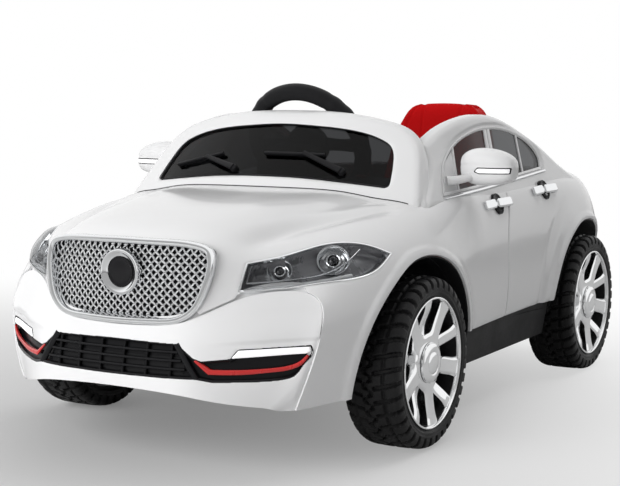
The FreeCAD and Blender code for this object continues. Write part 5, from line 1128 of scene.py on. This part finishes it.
# pillar panel: from the windscreen frame's edge, round, to the front edge of the arch
pillarPanel = {"heights": (336, 431, 45), "behindFrame": (-1.0, 5.0, 0), "overArch": 3.0, "underArch": 3.2,
               "bendIn": 0.5, "bendShare": 0.25, "across": 14, "wall": 3.0}
frameRun = smoothRun(screen["frameTop"], 200)[::-1]
z = np.linspace(*pillarPanel["heights"])
x = np.interp(z, frameRun[:, 1], frameRun[:, 0])
inner = screenPlace(z, x) + pillarPanel["behindFrame"]
archFront = np.interp(z, *np.array(arch["front"], float).T[::-1])
outer = archPlace(z, archFront + pillarPanel["overArch"]) - archOut * pillarPanel["underArch"]
share = pillarPanel["bendShare"]
bendY = inner[:, 1] * (1 - share) + outer[:, 1] * share
bend = np.stack([outer[:, 0] - pillarPanel["bendIn"], bendY, z], 1)
s = np.linspace(0, 1, pillarPanel["across"])[:, None, None]
panel = inner * (1 - s) ** 2 + bend * 2 * s * (1 - s) + outer * s ** 2
across, upwards = np.gradient(panel, axis=0), np.gradient(panel, axis=1)
panelOut = unit(np.cross(across, upwards))
pillar = thicken(panel.reshape(-1, 3), gridQuads(*panel.shape[:2]), panelOut.reshape(-1, 3),
                 pillarPanel["wall"])
makePiece("pillarPanels", bothSides([pillar]), whiteGloss, "car", "white_body")
for side, turn in sides:
    node = side.lower()
    makePiece("sideArch" + side, [turn(archShape)], whiteGloss, "car", "white_body", ["side_arch_" + node])
    makePiece("sideWindow" + side, [turn(paneShape)], tintedPane, "car", "tinted_pane",
              ["side_window_" + node])
    makePiece("windowBars" + side, [turn(bar) for bar in paneBars + [beading]], whiteGloss, "car",
              "white_body")
    makePiece("windowTrim" + side, [turn(chrome)], brightPlate, "car", "bright_trim")
print("side arches made")


# mirrors

mirror = {"stations": [(268, 6, 5), (270, 16, 14), (279, 24, 21), (297, 29, 25), (321, 28, 26),
                       (341, 23.5, 23), (353, 17, 17), (357.5, 9.5, 9), (358.5, 4, 3)],
          "drop": 4.0, "dropFrom": 300.0, "dropRun": 58.0, "y": -49.0, "z": 396.0, "flat": -35.0,
          "square": 0.66,
          "foot": [(258, -90, 374), (268, -82, 375), (281, -72, 378), (294, -59, 383), (304, -50, 388)],
          "seam": 399.5, "seamDepth": 0.9, "seamWidth": 1.3,
          "strip": [(299, 389.5), (304, 394), (354, 394), (353, 387.5), (306, 387)],
          "glass": ((315, 396), (34.0, 19.0)), "rows": 60, "around": 120}


def mirrorPlace(s, t):
    # rounded housing: upright superellipses along X, cut flat behind
    run = smoothRun(mirror["stations"], 400)
    x, hz, hy = (np.interp(s, np.linspace(0, 1, 400), run[:, k]) for k in range(3))
    c, w = np.cos(t), np.sin(t)
    y = mirror["y"] - hy * np.sign(c) * np.abs(c) ** mirror["square"]
    drop = mirror["drop"] * np.clip((x - mirror["dropFrom"]) / mirror["dropRun"], 0, 1) ** 2
    z = mirror["z"] + hz * np.sign(w) * np.abs(w) ** mirror["square"] - drop
    return np.stack([x, np.minimum(y, mirror["flat"]), z], 1)


rows, around = mirror["rows"], mirror["around"]
turn = np.linspace(-math.pi, math.pi, around, endpoint=False)
s, t = (a.ravel() for a in np.meshgrid(np.linspace(0, 1, rows), turn, indexing="ij"))
points = mirrorPlace(s, t)
inward = unit(np.array([0, mirror["y"], mirror["z"]]) - points * (0, 1, 1) + 1e-6)
seam = mirror["seamDepth"] * bump(points[:, 2] - mirror["seam"], mirror["seamWidth"])
seam = seam * (points[:, 1] < mirror["flat"] - 2)
points = points + inward * seam[:, None]
ends = [points.reshape(rows, around, 3)[k].mean(0)[None].repeat(around, 0) for k in (0, -1)]
housing = (np.concatenate([ends[0], points, ends[1]]), gridQuads(rows + 2, around, False, True))
footPath = smoothRun(mirror["foot"], 24)
mirrorFoot = sweep(footPath, (0, 0, 1), roundProfile(10.0, 6.4, 2.6, 20), scale=np.linspace(1.15, 0.85, 24))
stripOutline = straightOutline(mirror["strip"], 1.5)


def mirrorStrip(along, turn, grow, lift, wall):
    # part of the housing inside the strip's outline, moved out from its middle and given a wall
    points, quads, normals, _ = trimmedSheet(mirrorPlace, np.linspace(*along, 60), np.linspace(*turn, 50),
                                             gapTo(frontView, stripOutline, -grow), 3.0)
    outwards = unit(points * (0, 1, 1) - np.array([0, mirror["y"] + 12, mirror["z"]]))
    return thicken(points + outwards * lift, quads, outwards, wall)


indicator = mirrorStrip((0.25, 0.97), (-1.2, 0.3), 0.0, 0.9, 2.0)
border = mirrorStrip((0.2, 0.98), (-1.4, 0.5), 1.6, 0.35, 1.6)
# flat rounded glass, in rings from its middle outwards
glassMiddle, glassHalf = mirror["glass"]
share = np.linspace(0, 1, 8)[:, None, None]
flat = share * roundProfile(1.0, 1.0, 3.0, 64) * glassHalf + glassMiddle
flat = np.stack([flat[..., 0], 0 * flat[..., 0] + mirror["flat"] + 1.2, flat[..., 1]], 2).reshape(-1, 3)
glass = thicken(flat, gridQuads(8, 64, False, True), np.broadcast_to((0, 1.0, 0), flat.shape), 1.6)
makePiece("mirrorGlass", bothSides([glass]), mirrorFace, "car", "mirror", ["mirror_glasses"])
for side, turn in sides:
    makePiece("mirrorHousing" + side, [turn(housing), turn(mirrorFoot)], whiteGloss, "car", "white_body",
              ["mirror_housing_" + side.lower()])
makePiece("mirrorIndicators", bothSides([indicator]), stripLens, "car", "lamp_lens", ["mirror_indicators"])
makePiece("indicatorBorders", bothSides([border]), blackGloss, "car", "gloss_black")
print("mirrors made")


# door handles

handle = {"places": [(35, 331), (255, 341)], "half": 54.0, "lean": 20.0, "cupHalf": (18.0, 17.0),
          "lift": 2.0, "bow": 7.0, "bowRun": (0.6, 0.98), "waistAt": -0.42, "waist": 0.45,
          "waistRun": (0.1, 0.17), "dip": 3.5, "dipRun": (0.09, 0.17), "tipAt": 0.93, "tipRun": 0.075,
          "cup": [(0.5, 0.0), (0.6, 0.4), (1.0, 0.74), (2.6, 0.9), (3.2, 0.97), (2.6, 1.04), (-6.0, 1.06),
                  (-6.0, 0.0)]}
lean = math.radians(handle["lean"])
handleOut = np.array([math.cos(lean), 0, math.sin(lean)])
handleUp = np.array([-math.sin(lean), 0, math.cos(lean)])
bars, cups = [], []
for y, z in handle["places"]:
    u, v = findOn(bodyPlace, sideView, np.array([[y, z]], float), flankSide)
    seat = bodyPlace(u, v)[0]
    s = np.linspace(-1, 1, 97)
    fromWaist = np.abs(s - handle["waistAt"])
    bow = handle["bow"] * (1 - ease(np.abs(s), *handle["bowRun"]))
    dip = handle["dip"] * (1 - ease(fromWaist, *handle["dipRun"]))
    lift = handle["lift"] + bow - dip
    path = seat + np.outer(s * handle["half"], (0, 1, 0)) + np.outer(lift, handleOut)
    pastTip = np.clip(np.abs(s) - handle["tipAt"], 0, 1) / handle["tipRun"]
    tip = np.sqrt(np.clip(1 - pastTip ** 2, 0.02, 1))
    waist = handle["waist"] + (1 - handle["waist"]) * ease(fromWaist, *handle["waistRun"])
    bars.append(sweep(path, handleOut, roundProfile(7.6, 3.6, 3.6, 20), scale=tip * waist))
    # oval dish: (lift, share of the oval) pairs carried round
    ring = np.array(handle["cup"])
    turn = np.linspace(0, 2 * math.pi, 64, endpoint=False)
    halfY, halfUp = handle["cupHalf"]
    flat = np.outer(np.cos(turn) * halfY, (0, 1, 0)) + np.outer(np.sin(turn) * halfUp, handleUp)
    cup = seat + flat[:, None] * ring[None, :, 1:] + handleOut * ring[None, :, :1]
    cups.append((cup, gridQuads(64, len(ring), True)))
makePiece("doorHandles", bothSides(bars), brightPlate, "car", "bright_trim", ["door_handles"])
makePiece("doorHandleCups", bothSides(cups), blackGloss, "car", "gloss_black", ["door_handle_cups"])
print("door handles made")


# dashboard

dash = {"half": 204.0, "profile": [(-186, 318), (-186, 352), (-182, 364), (-172, 369), (-150, 374),
                                   (-124, 377.6), (-115, 376), (-106, 366), (-97, 353), (-99, 330),
                                   (-103, 307)],
        "bow": 0.00072, "bowFrom": -150.0, "bowRun": 36.0, "wall": 3.0, "topFrom": 350.0,
        "leverSlot": (-130.0, -131.0, 9.0, 20.0), "button": (130.0, -131.0, 12.4),
        "podHalf": 48.0, "pod": (-158.0, -95.0), "podFoot": 352.0, "podTop": 429.0, "podSquare": 0.5,
        "podDrop": 14.0, "podDropRun": (-158.0, -128.0), "podWall": 5.0, "podRows": 26, "podAround": 61,
        "roomEdge": 6.0, "roomY": -126.0, "roomReach": 35.0, "lidRows": 10, "lidUp": 20.0, "lidWall": 4.0}
dashRun = smoothRun(dash["profile"], 160)


def dashPlace(u, x):
    # moulded section carried across, its front bowed forward in the middle
    y, z = (np.interp(u, np.linspace(0, 1, 160), dashRun[:, k]) for k in (0, 1))
    bow = dash["bow"] * (dash["half"] ** 2 - x ** 2)
    y = y - bow * np.clip((dash["bowFrom"] - y) / dash["bowRun"], 0, 1)
    return np.stack([x, y, z], 1)


def dashCut(p):
    # lever slot, button bore and the room under the pod
    x, y, reachX, reachY = dash["leverSlot"]
    slot = np.minimum(reachX - np.abs(p[:, 0] - x), reachY - np.abs(p[:, 1] - y))
    bore = dash["button"][2] - np.hypot(p[:, 0] - dash["button"][0], p[:, 1] - dash["button"][1])
    roomX = dash["podHalf"] - dash["roomEdge"] - np.abs(p[:, 0])
    room = np.minimum(roomX, dash["roomReach"] - np.abs(p[:, 1] - dash["roomY"]))
    holes = np.where(p[:, 2] > dash["topFrom"], np.maximum(slot, bore), farInside)
    return np.maximum(np.maximum(holes, room), farInside)


points, quads, normals, _ = trimmedSheet(dashPlace, np.linspace(0, 1, 110),
                                         np.linspace(-dash["half"], dash["half"], 260), dashCut, 4.0)
dashShapes = [thicken(points, quads, normals, dash["wall"])]
# instrument pod: an arched section run backwards, its front closed by a lid
rows, around = dash["podRows"], dash["podAround"]
podRise = dash["podTop"] - dash["podFoot"]
podY, podTurn = np.linspace(*dash["pod"], rows), np.linspace(0, math.pi, around)
y, t = (a.ravel() for a in np.meshgrid(podY, podTurn, indexing="ij"))
c, s = np.cos(t), np.sin(t)
podX = -dash["podHalf"] * np.sign(c) * np.abs(c) ** dash["podSquare"]
podDrop = dash["podDrop"] * (1 - ease(y, *dash["podDropRun"]))
podZ = dash["podFoot"] + (podRise - podDrop) * np.abs(s) ** dash["podSquare"]
podUp = (podZ - dash["podFoot"]) / podRise ** 2 + 1e-6
podOut = unit(np.stack([podX / dash["podHalf"] ** 2, 0 * y, podUp], 1))
pod = np.stack([podX, y, podZ], 1)
dashShapes.append(thicken(pod, gridQuads(rows, around), podOut, dash["podWall"]))
share = np.linspace(0, 1, dash["lidRows"])[:, None, None]
lidMiddle = np.array([0, dash["pod"][0], dash["podFoot"] + dash["lidUp"]])
lid = (pod[:around] * share + lidMiddle * (1 - share)).reshape(-1, 3)
lidOut = np.broadcast_to((0, -1.0, 0), lid.shape)
dashShapes.append(thicken(lid, gridQuads(dash["lidRows"], around), lidOut, dash["lidWall"]))
makePiece("dashPanel", dashShapes, blackMoulded, "car", "black_plastic", ["dashboard"])
print("dashboard made")


# seat

seatShape = {"front": [(232, 162), (229, 215), (232, 240), (246, 251), (300, 246), (380, 250), (408, 268),
                       (424, 310), (440, 390), (450, 455), (457, 481), (464, 489)],
             "back": [(432, 162), (434, 205), (436, 250), (441, 285), (445, 310), (450, 335), (456, 362),
                      (466, 390), (480, 425), (490, 460), (494, 478), (490, 487)],
             "half": [(490, 48), (488, 62), (483, 70), (476, 76), (450, 91), (400, 108), (320, 124),
                      (250, 128), (162, 128)],
             "seams": 40.0, "seamDepth": 2.2, "seamWidth": 2.4, "edgeSeam": 1.6, "edgeSeamAt": 0.8,
             "swell": 1.5, "cushionFoot": 236.0, "round": 9.0, "roundFrom": 0.9, "along": 120, "columns": 81}
# a closed side section carried across; its width follows the height and its edges are pulled in
heightLine, halfLine = np.array(seatShape["half"], float)[::-1].T
along, columns = seatShape["along"], seatShape["columns"]
frontRun, backRun = smoothRun(seatShape["front"], along), smoothRun(seatShape["back"], along)
loop = np.concatenate([frontRun, backRun[::-1]])
ahead = unit(np.roll(loop, -1, 0) - np.roll(loop, 1, 0))
inLoop = np.stack([ahead[:, 1], -ahead[:, 0]], 1)
across = np.linspace(-1, 1, columns)
edge = np.clip((np.abs(across) - seatShape["roundFrom"]) / (1 - seatShape["roundFrom"]), 0, 1)
pull = seatShape["round"] * (1 - np.sqrt(1 - edge ** 2))
half = np.interp(loop[:, 1], heightLine, halfLine)
x = across[None] * half[:, None]
fromEdgeSeam = np.abs(x) - seatShape["edgeSeamAt"] * half[:, None]
groove = seatShape["seamDepth"] * bump(np.abs(x) - seatShape["seams"], seatShape["seamWidth"])
groove = groove + seatShape["edgeSeam"] * bump(fromEdgeSeam, seatShape["seamWidth"])
swell = seatShape["swell"] * (1 - (x / seatShape["seams"]) ** 2).clip(0, 1)
isFront = (np.arange(2 * along) < along)[:, None] & (loop[:, 1:] > seatShape["cushionFoot"])
depth = pull[None] + np.where(isFront, groove - swell, 0.0)
yz = loop[:, None] + inLoop[:, None] * depth[..., None]
seatGrid = np.concatenate([x[..., None], yz], 2).transpose(1, 0, 2)
seatQuads = gridQuads(columns, 2 * along, False, True)
strip = np.arange(along - 1)
capFirst = np.stack([strip, strip + 1, 2 * along - 2 - strip, 2 * along - 1 - strip], 1)
capLast = capFirst[:, ::-1] + (columns - 1) * 2 * along
seatFaces = np.concatenate([seatQuads, capFirst[:, ::-1], capLast[:, ::-1]])
makePiece("seatMoulding", [(seatGrid, seatFaces)], redSeatSkin, "car", "red_seat", ["seat"], 55)
print("seat made")


# steering wheel

steering = {"centre": (0, -70, 425), "tilt": 27.0, "radius": 98.0, "grip": 13.8,
            "fingers": 26, "fingerDepth": 0.035, "fingerEnd": 0.8, "nick": 0.05, "nickAt": 0.82,
            "nickWidth": 0.02,
            "spokes": (0, 90, 180), "spokeStart": 29.0, "spokeHalf": 13.0, "spokeDeep": 5.0,
            "spokeBow": 3.0, "bowAt": 36.0, "bowWidth": 22.0,
            "waist": 0.82, "waistAt": 58.0, "waistRun": 38.0, "widen": 0.25,
            "hub": [(-14, 0), (-14, 33), (-11, 36), (4, 36), (8.5, 34.5), (10, 32), (10, 27.5), (9, 26.6),
                    (3.5, 26.4), (3.5, 0)],
            "pad": [(7.0, 0), (7.0, 25.6), (10.4, 26), (11.6, 25), (12.0, 23.4), (11.4, 22.6), (11.4, 21.6),
                    (12.0, 20.6), (12.9, 10), (13.1, 0)]}
tilt = math.radians(steering["tilt"])
wheelCentre = np.array(steering["centre"], float)
wheelAxis = np.array([0, math.cos(tilt), math.sin(tilt)])
wheelDown = np.array([0, math.sin(tilt), -math.cos(tilt)])
turn = np.linspace(0, 2 * math.pi, 220, endpoint=False)
circle = np.outer(np.cos(turn), (1, 0, 0)) + np.outer(np.sin(turn), wheelDown)
section = roundProfile(steering["grip"], steering["grip"] * 0.95, 2.2, 28)
side = np.abs(np.sin(turn))
finger = steering["fingerDepth"] * np.cos(turn * steering["fingers"]) * (side < steering["fingerEnd"])
nick = steering["nick"] * bump(side - steering["nickAt"], steering["nickWidth"])
wheelShapes = [sweep(wheelCentre + steering["radius"] * circle, wheelAxis, section, True,
                     scale=1 - finger - nick)]
spokeProfile = roundProfile(steering["spokeHalf"], steering["spokeDeep"], 3.0, 20)
for angle in np.radians(steering["spokes"]):
    way = math.cos(angle) * np.array([1.0, 0, 0]) + math.sin(angle) * wheelDown
    s = np.linspace(steering["spokeStart"], steering["radius"] - 4, 24)
    bow = steering["spokeBow"] * bump(s - steering["bowAt"], steering["bowWidth"])
    path = wheelCentre + np.outer(s, way) + np.outer(bow, wheelAxis)
    fromWaist = (s - steering["waistAt"]) / steering["waistRun"]
    wide = steering["waist"] + steering["widen"] * fromWaist ** 2
    wheelShapes.append(sweep(path, wheelAxis, spokeProfile, scale=wide))
wheelShapes.append(lathe(steering["hub"], wheelCentre, wheelAxis, 72))
makePiece("steeringRing", wheelShapes, blackMoulded, "steering", "black_plastic", ["steering_wheel"])
hornPad = lathe(steering["pad"], wheelCentre, wheelAxis, 72)
makePiece("hornButton", [hornPad], blackGloss, "horn", "gloss_black", ["horn_pad"])
print("steering wheel made")


# wheels

wheel = {"half": 41.0, "lugs": 36, "lugDepth": 5.5, "lugGap": (2.4, 3.8), "lugFrom": 8.0, "lugSkew": 0.0022,
         "zigzag": 4.5, "zigzagGap": (2.4, 4.0), "groove": 22.0, "grooveGap": (1.3, 2.4), "grooveShare": 0.55,
         "tread": (113.0, 120.0), "treadHalf": 41.5, "ridges": (101.5, 106.5), "ridge": 0.7,
         "ridgeWidth": 0.9, "ridgeFrom": 36.0, "notch": 3.6, "notchRun": (107.0, 111.0), "notchFrom": 30.0,
         "face": 32.5, "dish": 0.0018, "dishFrom": 40.0, "spokeR": (7.0, 92.2, 58), "first": 41.0,
         "spokes": 5, "spokeFoot": 0.15, "footAt": 92.0, "footWidth": 9.0,
         "layers": [{"half": 13.0, "hub": 42.0, "drop": 0.0, "wall": 10.0, "turn": 0.0},
                    {"half": 9.0, "hub": 30.0, "drop": 9.0, "wall": 9.0, "turn": 0.5}],
         "windowCorner": 9.0, "windowEnd": 90.6,
         "edgeRound": 5.0, "edgeDrop": 2.6, "setBack": (48.0, 84.0), "outset": 4.5, "track": 285.0}


def tyreShape():
    # turned section, its tread lowered between the lugs
    side = [(36, 92.8), (37.5, 96.5), (39.6, 99.5), (40.4, 104), (40.9, 108.5), (41, 112), (40, 117),
            (38.2, 120.4), (34, 123), (29, 124.2), (22, 124.6), (14, 124.9), (7, 125), (3, 125), (0, 125)]
    outer = np.array(side + [(-x, r) for x, r in reversed(side[:-1])], float)
    outer = smoothRun(outer, 90)
    inner = np.stack([np.linspace(-34, 34, 12), np.full(12, 92.6)], 1)
    profile = np.concatenate([outer, inner])
    steps = wheel["lugs"] * 18
    turn = np.linspace(0, 2 * math.pi, steps, endpoint=False)[:, None]
    x, r = profile[None, :, 0], profile[None, :, 1]
    pitch = 2 * math.pi / wheel["lugs"]
    skew = np.abs(x) * wheel["lugSkew"]
    phase = (turn + skew + np.where(x > 0, 0, pitch / 2)) / pitch
    across = np.abs(phase - np.round(phase)) * pitch * r
    lateral = 1 - ease(across, *wheel["lugGap"])
    wave = np.sin(turn * wheel["lugs"])
    zigzag = np.abs(x - wheel["zigzag"] * np.sign(wave) * np.abs(wave) ** 0.4)
    middle = 1 - ease(zigzag, *wheel["zigzagGap"])
    second = 1 - ease(np.abs(np.abs(x) - wheel["groove"]), *wheel["grooveGap"])
    tread = ease(r, *wheel["tread"]) * (np.abs(x) < wheel["treadHalf"])
    grooves = np.maximum(lateral * (np.abs(x) > wheel["lugFrom"]), middle)
    grooves = np.maximum(grooves, wheel["grooveShare"] * second)
    drop = wheel["lugDepth"] * tread * grooves
    ridges = sum(bump(r - radius, wheel["ridgeWidth"]) for radius in wheel["ridges"])
    ridge = wheel["ridge"] * ridges * (np.abs(x) > wheel["ridgeFrom"])
    notch = wheel["notch"] * lateral * ease(r, *wheel["notchRun"]) * (np.abs(x) > wheel["notchFrom"])
    x = x + np.sign(x) * (ridge - notch)
    x = np.where(x > 0, x * (1 + wheel["outset"] / wheel["half"]), x)
    r = r - drop
    points = np.stack([x, r * np.cos(turn), r * np.sin(turn)], 2)
    return points, gridQuads(steps, len(profile), True, True)


def spokePlace(r, t):
    # dished disc: x rises towards the rim
    x = wheel["face"] + wheel["dish"] * np.maximum(r - wheel["dishFrom"], 0) ** 2
    return np.stack([x, r * np.cos(t), r * np.sin(t)], 1)


def spokeCut(p, half, hub, turnBy):
    # how far a point is inside a window between spokes
    r, t = np.hypot(p[:, 1], p[:, 2]), np.arctan2(p[:, 2], p[:, 1])
    pitch = 2 * math.pi / wheel["spokes"]
    k = np.round((t - turnBy) / pitch)
    away = r * np.abs(np.sin(t - turnBy - k * pitch))
    width = half * (1 + wheel["spokeFoot"] * bump(r - wheel["footAt"], wheel["footWidth"]))
    a, b = away - width, r - hub
    corner = wheel["windowCorner"]
    blend = np.clip(0.5 + 0.5 * (b - a) / corner, 0, 1)
    inside = b * (1 - blend) + a * blend - corner * blend * (1 - blend)
    return np.minimum(inside, wheel["windowEnd"] - r)


def rimShapes():
    # turned barrel and hub, and two layers of five spokes, the narrow one set back at the hub
    barrel = [(-36, 88.5), (-36, 92.2), (35, 92.2), (36.2, 93.4), (36.4, 95.2), (38.5, 95.6), (40.0, 94.9),
              (40.5, 93.8), (40.1, 92.5), (38.2, 91.7), (30, 91.2), (0, 90.2)]
    hubBack = [(-20.5, 6.2), (-20.5, 17), (15, 21), (20, 36), (24.5, 38), (24.5, 6.2)]
    shapes = [lathe(barrel, (0, 0, 0), (1, 0, 0), 128, True), lathe(hubBack, (0, 0, 0), (1, 0, 0), 64, True)]
    first = math.radians(90 + wheel["first"])
    for layer in wheel["layers"]:
        turnBy = first + layer["turn"] * 2 * math.pi / wheel["spokes"]
        points, quads, _, _ = trimmedSheet(
            spokePlace, np.linspace(*wheel["spokeR"]), np.linspace(0, 2 * math.pi, 361),
            lambda p: spokeCut(p, layer["half"], layer["hub"], turnBy), 5.0)
        soft = np.clip(spokeCut(points, layer["half"], layer["hub"], turnBy) / wheel["edgeRound"], -1, 0)
        radius = np.hypot(points[:, 1], points[:, 2])
        sink = layer["drop"] * (1 - ease(radius, *wheel["setBack"])) + wheel["edgeDrop"] * (1 + soft) ** 2
        points = points - np.stack([sink, 0 * soft, 0 * soft], 1)
        shapes.append(thicken(points, quads, np.broadcast_to((1.0, 0, 0), points.shape), layer["wall"]))
    return shapes


capProfile = [(33.2, 0), (33.2, 29.5), (35.5, 29.4), (38.0, 28.2), (39.2, 25.6), (40.0, 21.0), (40.2, 18.6),
              (39.6, 17.2), (39.3, 16.0), (40.2, 15.0), (41.2, 12.5), (41.7, 8.0), (41.9, 4.0), (42.0, 0)]
webProfile = [(9.0, 19.0), (12.0, 40.0), (14.0, 44.0), (14.0, 52.0), (9.0, 56.0), (7.0, 80.0), (10.0, 87.0),
              (34.0, 90.2), (34.0, 91.0), (4.0, 90.8), (3.0, 19.0)]
web = lathe(webProfile, (0, 0, 0), (1, 0, 0), 96, True)
tyre, rim, cap = tyreShape(), rimShapes(), lathe(capProfile, (0, 0, 0), (1, 0, 0), 96)
for end, axle in zip(("front", "rear"), bodyShell["axles"]):
    for side, sign in (("left", 1), ("right", -1)):
        label = end.capitalize() + side.capitalize()
        node, body = end + "_" + side, end + "_" + side + "_wheel"

        def put(shape, out=wheel["outset"]):
            points, quads = shape if sign > 0 else otherSide(shape)
            centre = (sign * (wheel["track"] + out), axle, bodyShell["axleHeight"])
            return points.reshape(-1, 3) + centre, quads
        makePiece("tyre" + label, [put(tyre, 0.0)], tyreSkin, body, "tyre", ["tyre_" + node], 50)
        makePiece("rim" + label, [put(s) for s in rim], wheelPlate, body, "bright_trim", ["rim_" + node])
        makePiece("wheelWeb" + label, [put(web)], blackMoulded, body, "black_plastic")
        makePiece("hubCap" + label, [put(cap)], wheelPlate, body, "bright_trim", ["hub_cap_" + node])
print("wheels made")


# finishes of the carried-over nodes

nodeFinishes = {"chassis_tub": blackMoulded, "floor_screws": greySteel, "accelerator_pedal": caseGrey,
                "shift_lever": caseGrey, "power_button": redGloss, "steering_column": blackMoulded,
                "steering_shaft": greySteel, "front_axle_beam": greySteel, "knuckle_left": greySteel,
                "knuckle_right": greySteel, "tie_rod": greySteel, "rear_axle": greySteel,
                "gearboxes": caseGrey, "motors": greySteel, "battery": caseGrey, "control_box": blackGloss}
for name, finish in nodeFinishes.items():
    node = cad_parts[name]
    if not node.material_slots:
        node.data.materials.append(finish)
    for place in node.material_slots:
        place.material = finish
print("nodes finished")


# floor, light and camera

studio = {"floor": (0.66, 0.66, 0.66), "near": 0.17, "fadeCentre": (-0.35, -0.5, 0.0), "fade": (0.2, 1.9),
          "sky": 0.27, "behindCamera": 0.42, "behindRun": (-0.75, -0.2)}
lights = {"keyLight": {"place": (-1.0, -3.25, 1.4), "target": (0, 0, 0.25), "size": 3.0, "energy": 104.0},
          "topLight": {"place": (0.6, 1.4, 3.0), "target": (0, 0, 0.2), "size": 2.5, "energy": 40.0}}
floorMesh = bpy.data.meshes.new("studioFloor")
floorMesh.from_pydata([(-30, -30, 0), (30, -30, 0), (30, 30, 0), (-30, 30, 0)], [], [(0, 1, 2, 3)])
floorPiece = bpy.data.objects.new("studioFloor", floorMesh)
bpy.context.scene.collection.objects.link(floorPiece)


def straightRays(tree):
    # 1 for what the camera sees itself, in a mirror or through a pane
    rays = addNode(tree, "ShaderNodeLightPath")
    either = mathNode(tree, "MAXIMUM", rays.outputs["Is Camera Ray"], rays.outputs["Is Glossy Ray"])
    return mathNode(tree, "MAXIMUM", either, rays.outputs["Is Transmission Ray"])


# the floor takes the car's shadow near it and fades to white away from it
floorFinish = bpy.data.materials.new("paleFloor")
floorFinish.use_nodes = True
tree = floorFinish.node_tree
shader = tree.nodes["Principled BSDF"]
shader.inputs["Base Color"].default_value = (*studio["floor"], 1)
shader.inputs["Roughness"].default_value = 0.6
shader.inputs["Specular IOR Level"].default_value = 0.1
where = addNode(tree, "ShaderNodeTexCoord")
away = addNode(tree, "ShaderNodeVectorMath", {"operation": "DISTANCE"}, i0=where.outputs["Object"],
               i1=studio["fadeCentre"])
fade = addNode(tree, "ShaderNodeMapRange", {"interpolation_type": "SMOOTHSTEP"}, i0=away.outputs["Value"],
               i1=studio["fade"][0], i2=studio["fade"][1], i3=studio["near"], i4=1.0)
rays = addNode(tree, "ShaderNodeLightPath")
direct = mathNode(tree, "MAXIMUM", rays.outputs["Is Camera Ray"], rays.outputs["Is Transmission Ray"])
share = mathNode(tree, "MULTIPLY", fade.outputs[0], direct)
glow = addNode(tree, "ShaderNodeEmission", Color=(1, 1, 1, 1), Strength=1.0)
mixed = addNode(tree, "ShaderNodeMixShader", i0=share, i1=shader.outputs[0], i2=glow.outputs[0])
tree.links.new(mixed.outputs[0], tree.nodes["Material Output"].inputs["Surface"])
floorMesh.materials.append(floorFinish)

# the sky lights the car dimly; seen itself it is white all round but for the side behind the camera
world = bpy.data.worlds.new("studioSky")
bpy.context.scene.world = world
world.use_nodes = True
tree = world.node_tree
sky = tree.nodes["Background"]
sky.inputs["Color"].default_value = (1, 1, 1, 1)
sky.inputs["Strength"].default_value = studio["sky"]
where = addNode(tree, "ShaderNodeTexCoord")
split = addNode(tree, "ShaderNodeSeparateXYZ", Vector=where.outputs["Generated"])
behind = addNode(tree, "ShaderNodeMapRange", {"interpolation_type": "SMOOTHSTEP"}, i0=split.outputs["Y"],
                 i1=studio["behindRun"][0], i2=studio["behindRun"][1], i3=studio["behindCamera"], i4=1.0)
seen = addNode(tree, "ShaderNodeBackground", Color=(1, 1, 1, 1), Strength=behind.outputs[0])
mixed = addNode(tree, "ShaderNodeMixShader", i0=straightRays(tree), i1=sky.outputs[0], i2=seen.outputs[0])
tree.links.new(mixed.outputs[0], tree.nodes["World Output"].inputs["Surface"])


def areaLight(name, place, target, size, energy):
    lamp = bpy.data.lights.new(name, "AREA")
    lamp.energy, lamp.size, lamp.shape = energy, size, "DISK"
    holder = bpy.data.objects.new(name, lamp)
    bpy.context.scene.collection.objects.link(holder)
    holder.visible_glossy = False
    away = unit(np.array(place, float) - np.array(target, float))
    holder.location = place
    holder.rotation_euler = (math.acos(away[2]), 0, math.atan2(away[1], away[0]) + math.pi / 2)


for name, light in lights.items():
    areaLight(name, light["place"], light["target"], light["size"], light["energy"])

view = {"place": (1.1788, -2.1220, 0.5101), "turn": (84.006, 0.0, 29.843), "lens": 82.81}
camera = bpy.data.cameras.new("photoCamera")
camera.sensor_fit, camera.sensor_width, camera.lens = "HORIZONTAL", 36.0, view["lens"]
holder = bpy.data.objects.new("photoCamera", camera)
holder.location = view["place"]
holder.rotation_euler = [math.radians(a) for a in view["turn"]]
bpy.context.scene.collection.objects.link(holder)
bpy.context.scene.camera = holder
bpy.context.scene.view_settings.view_transform = "Standard"
print("studio made")
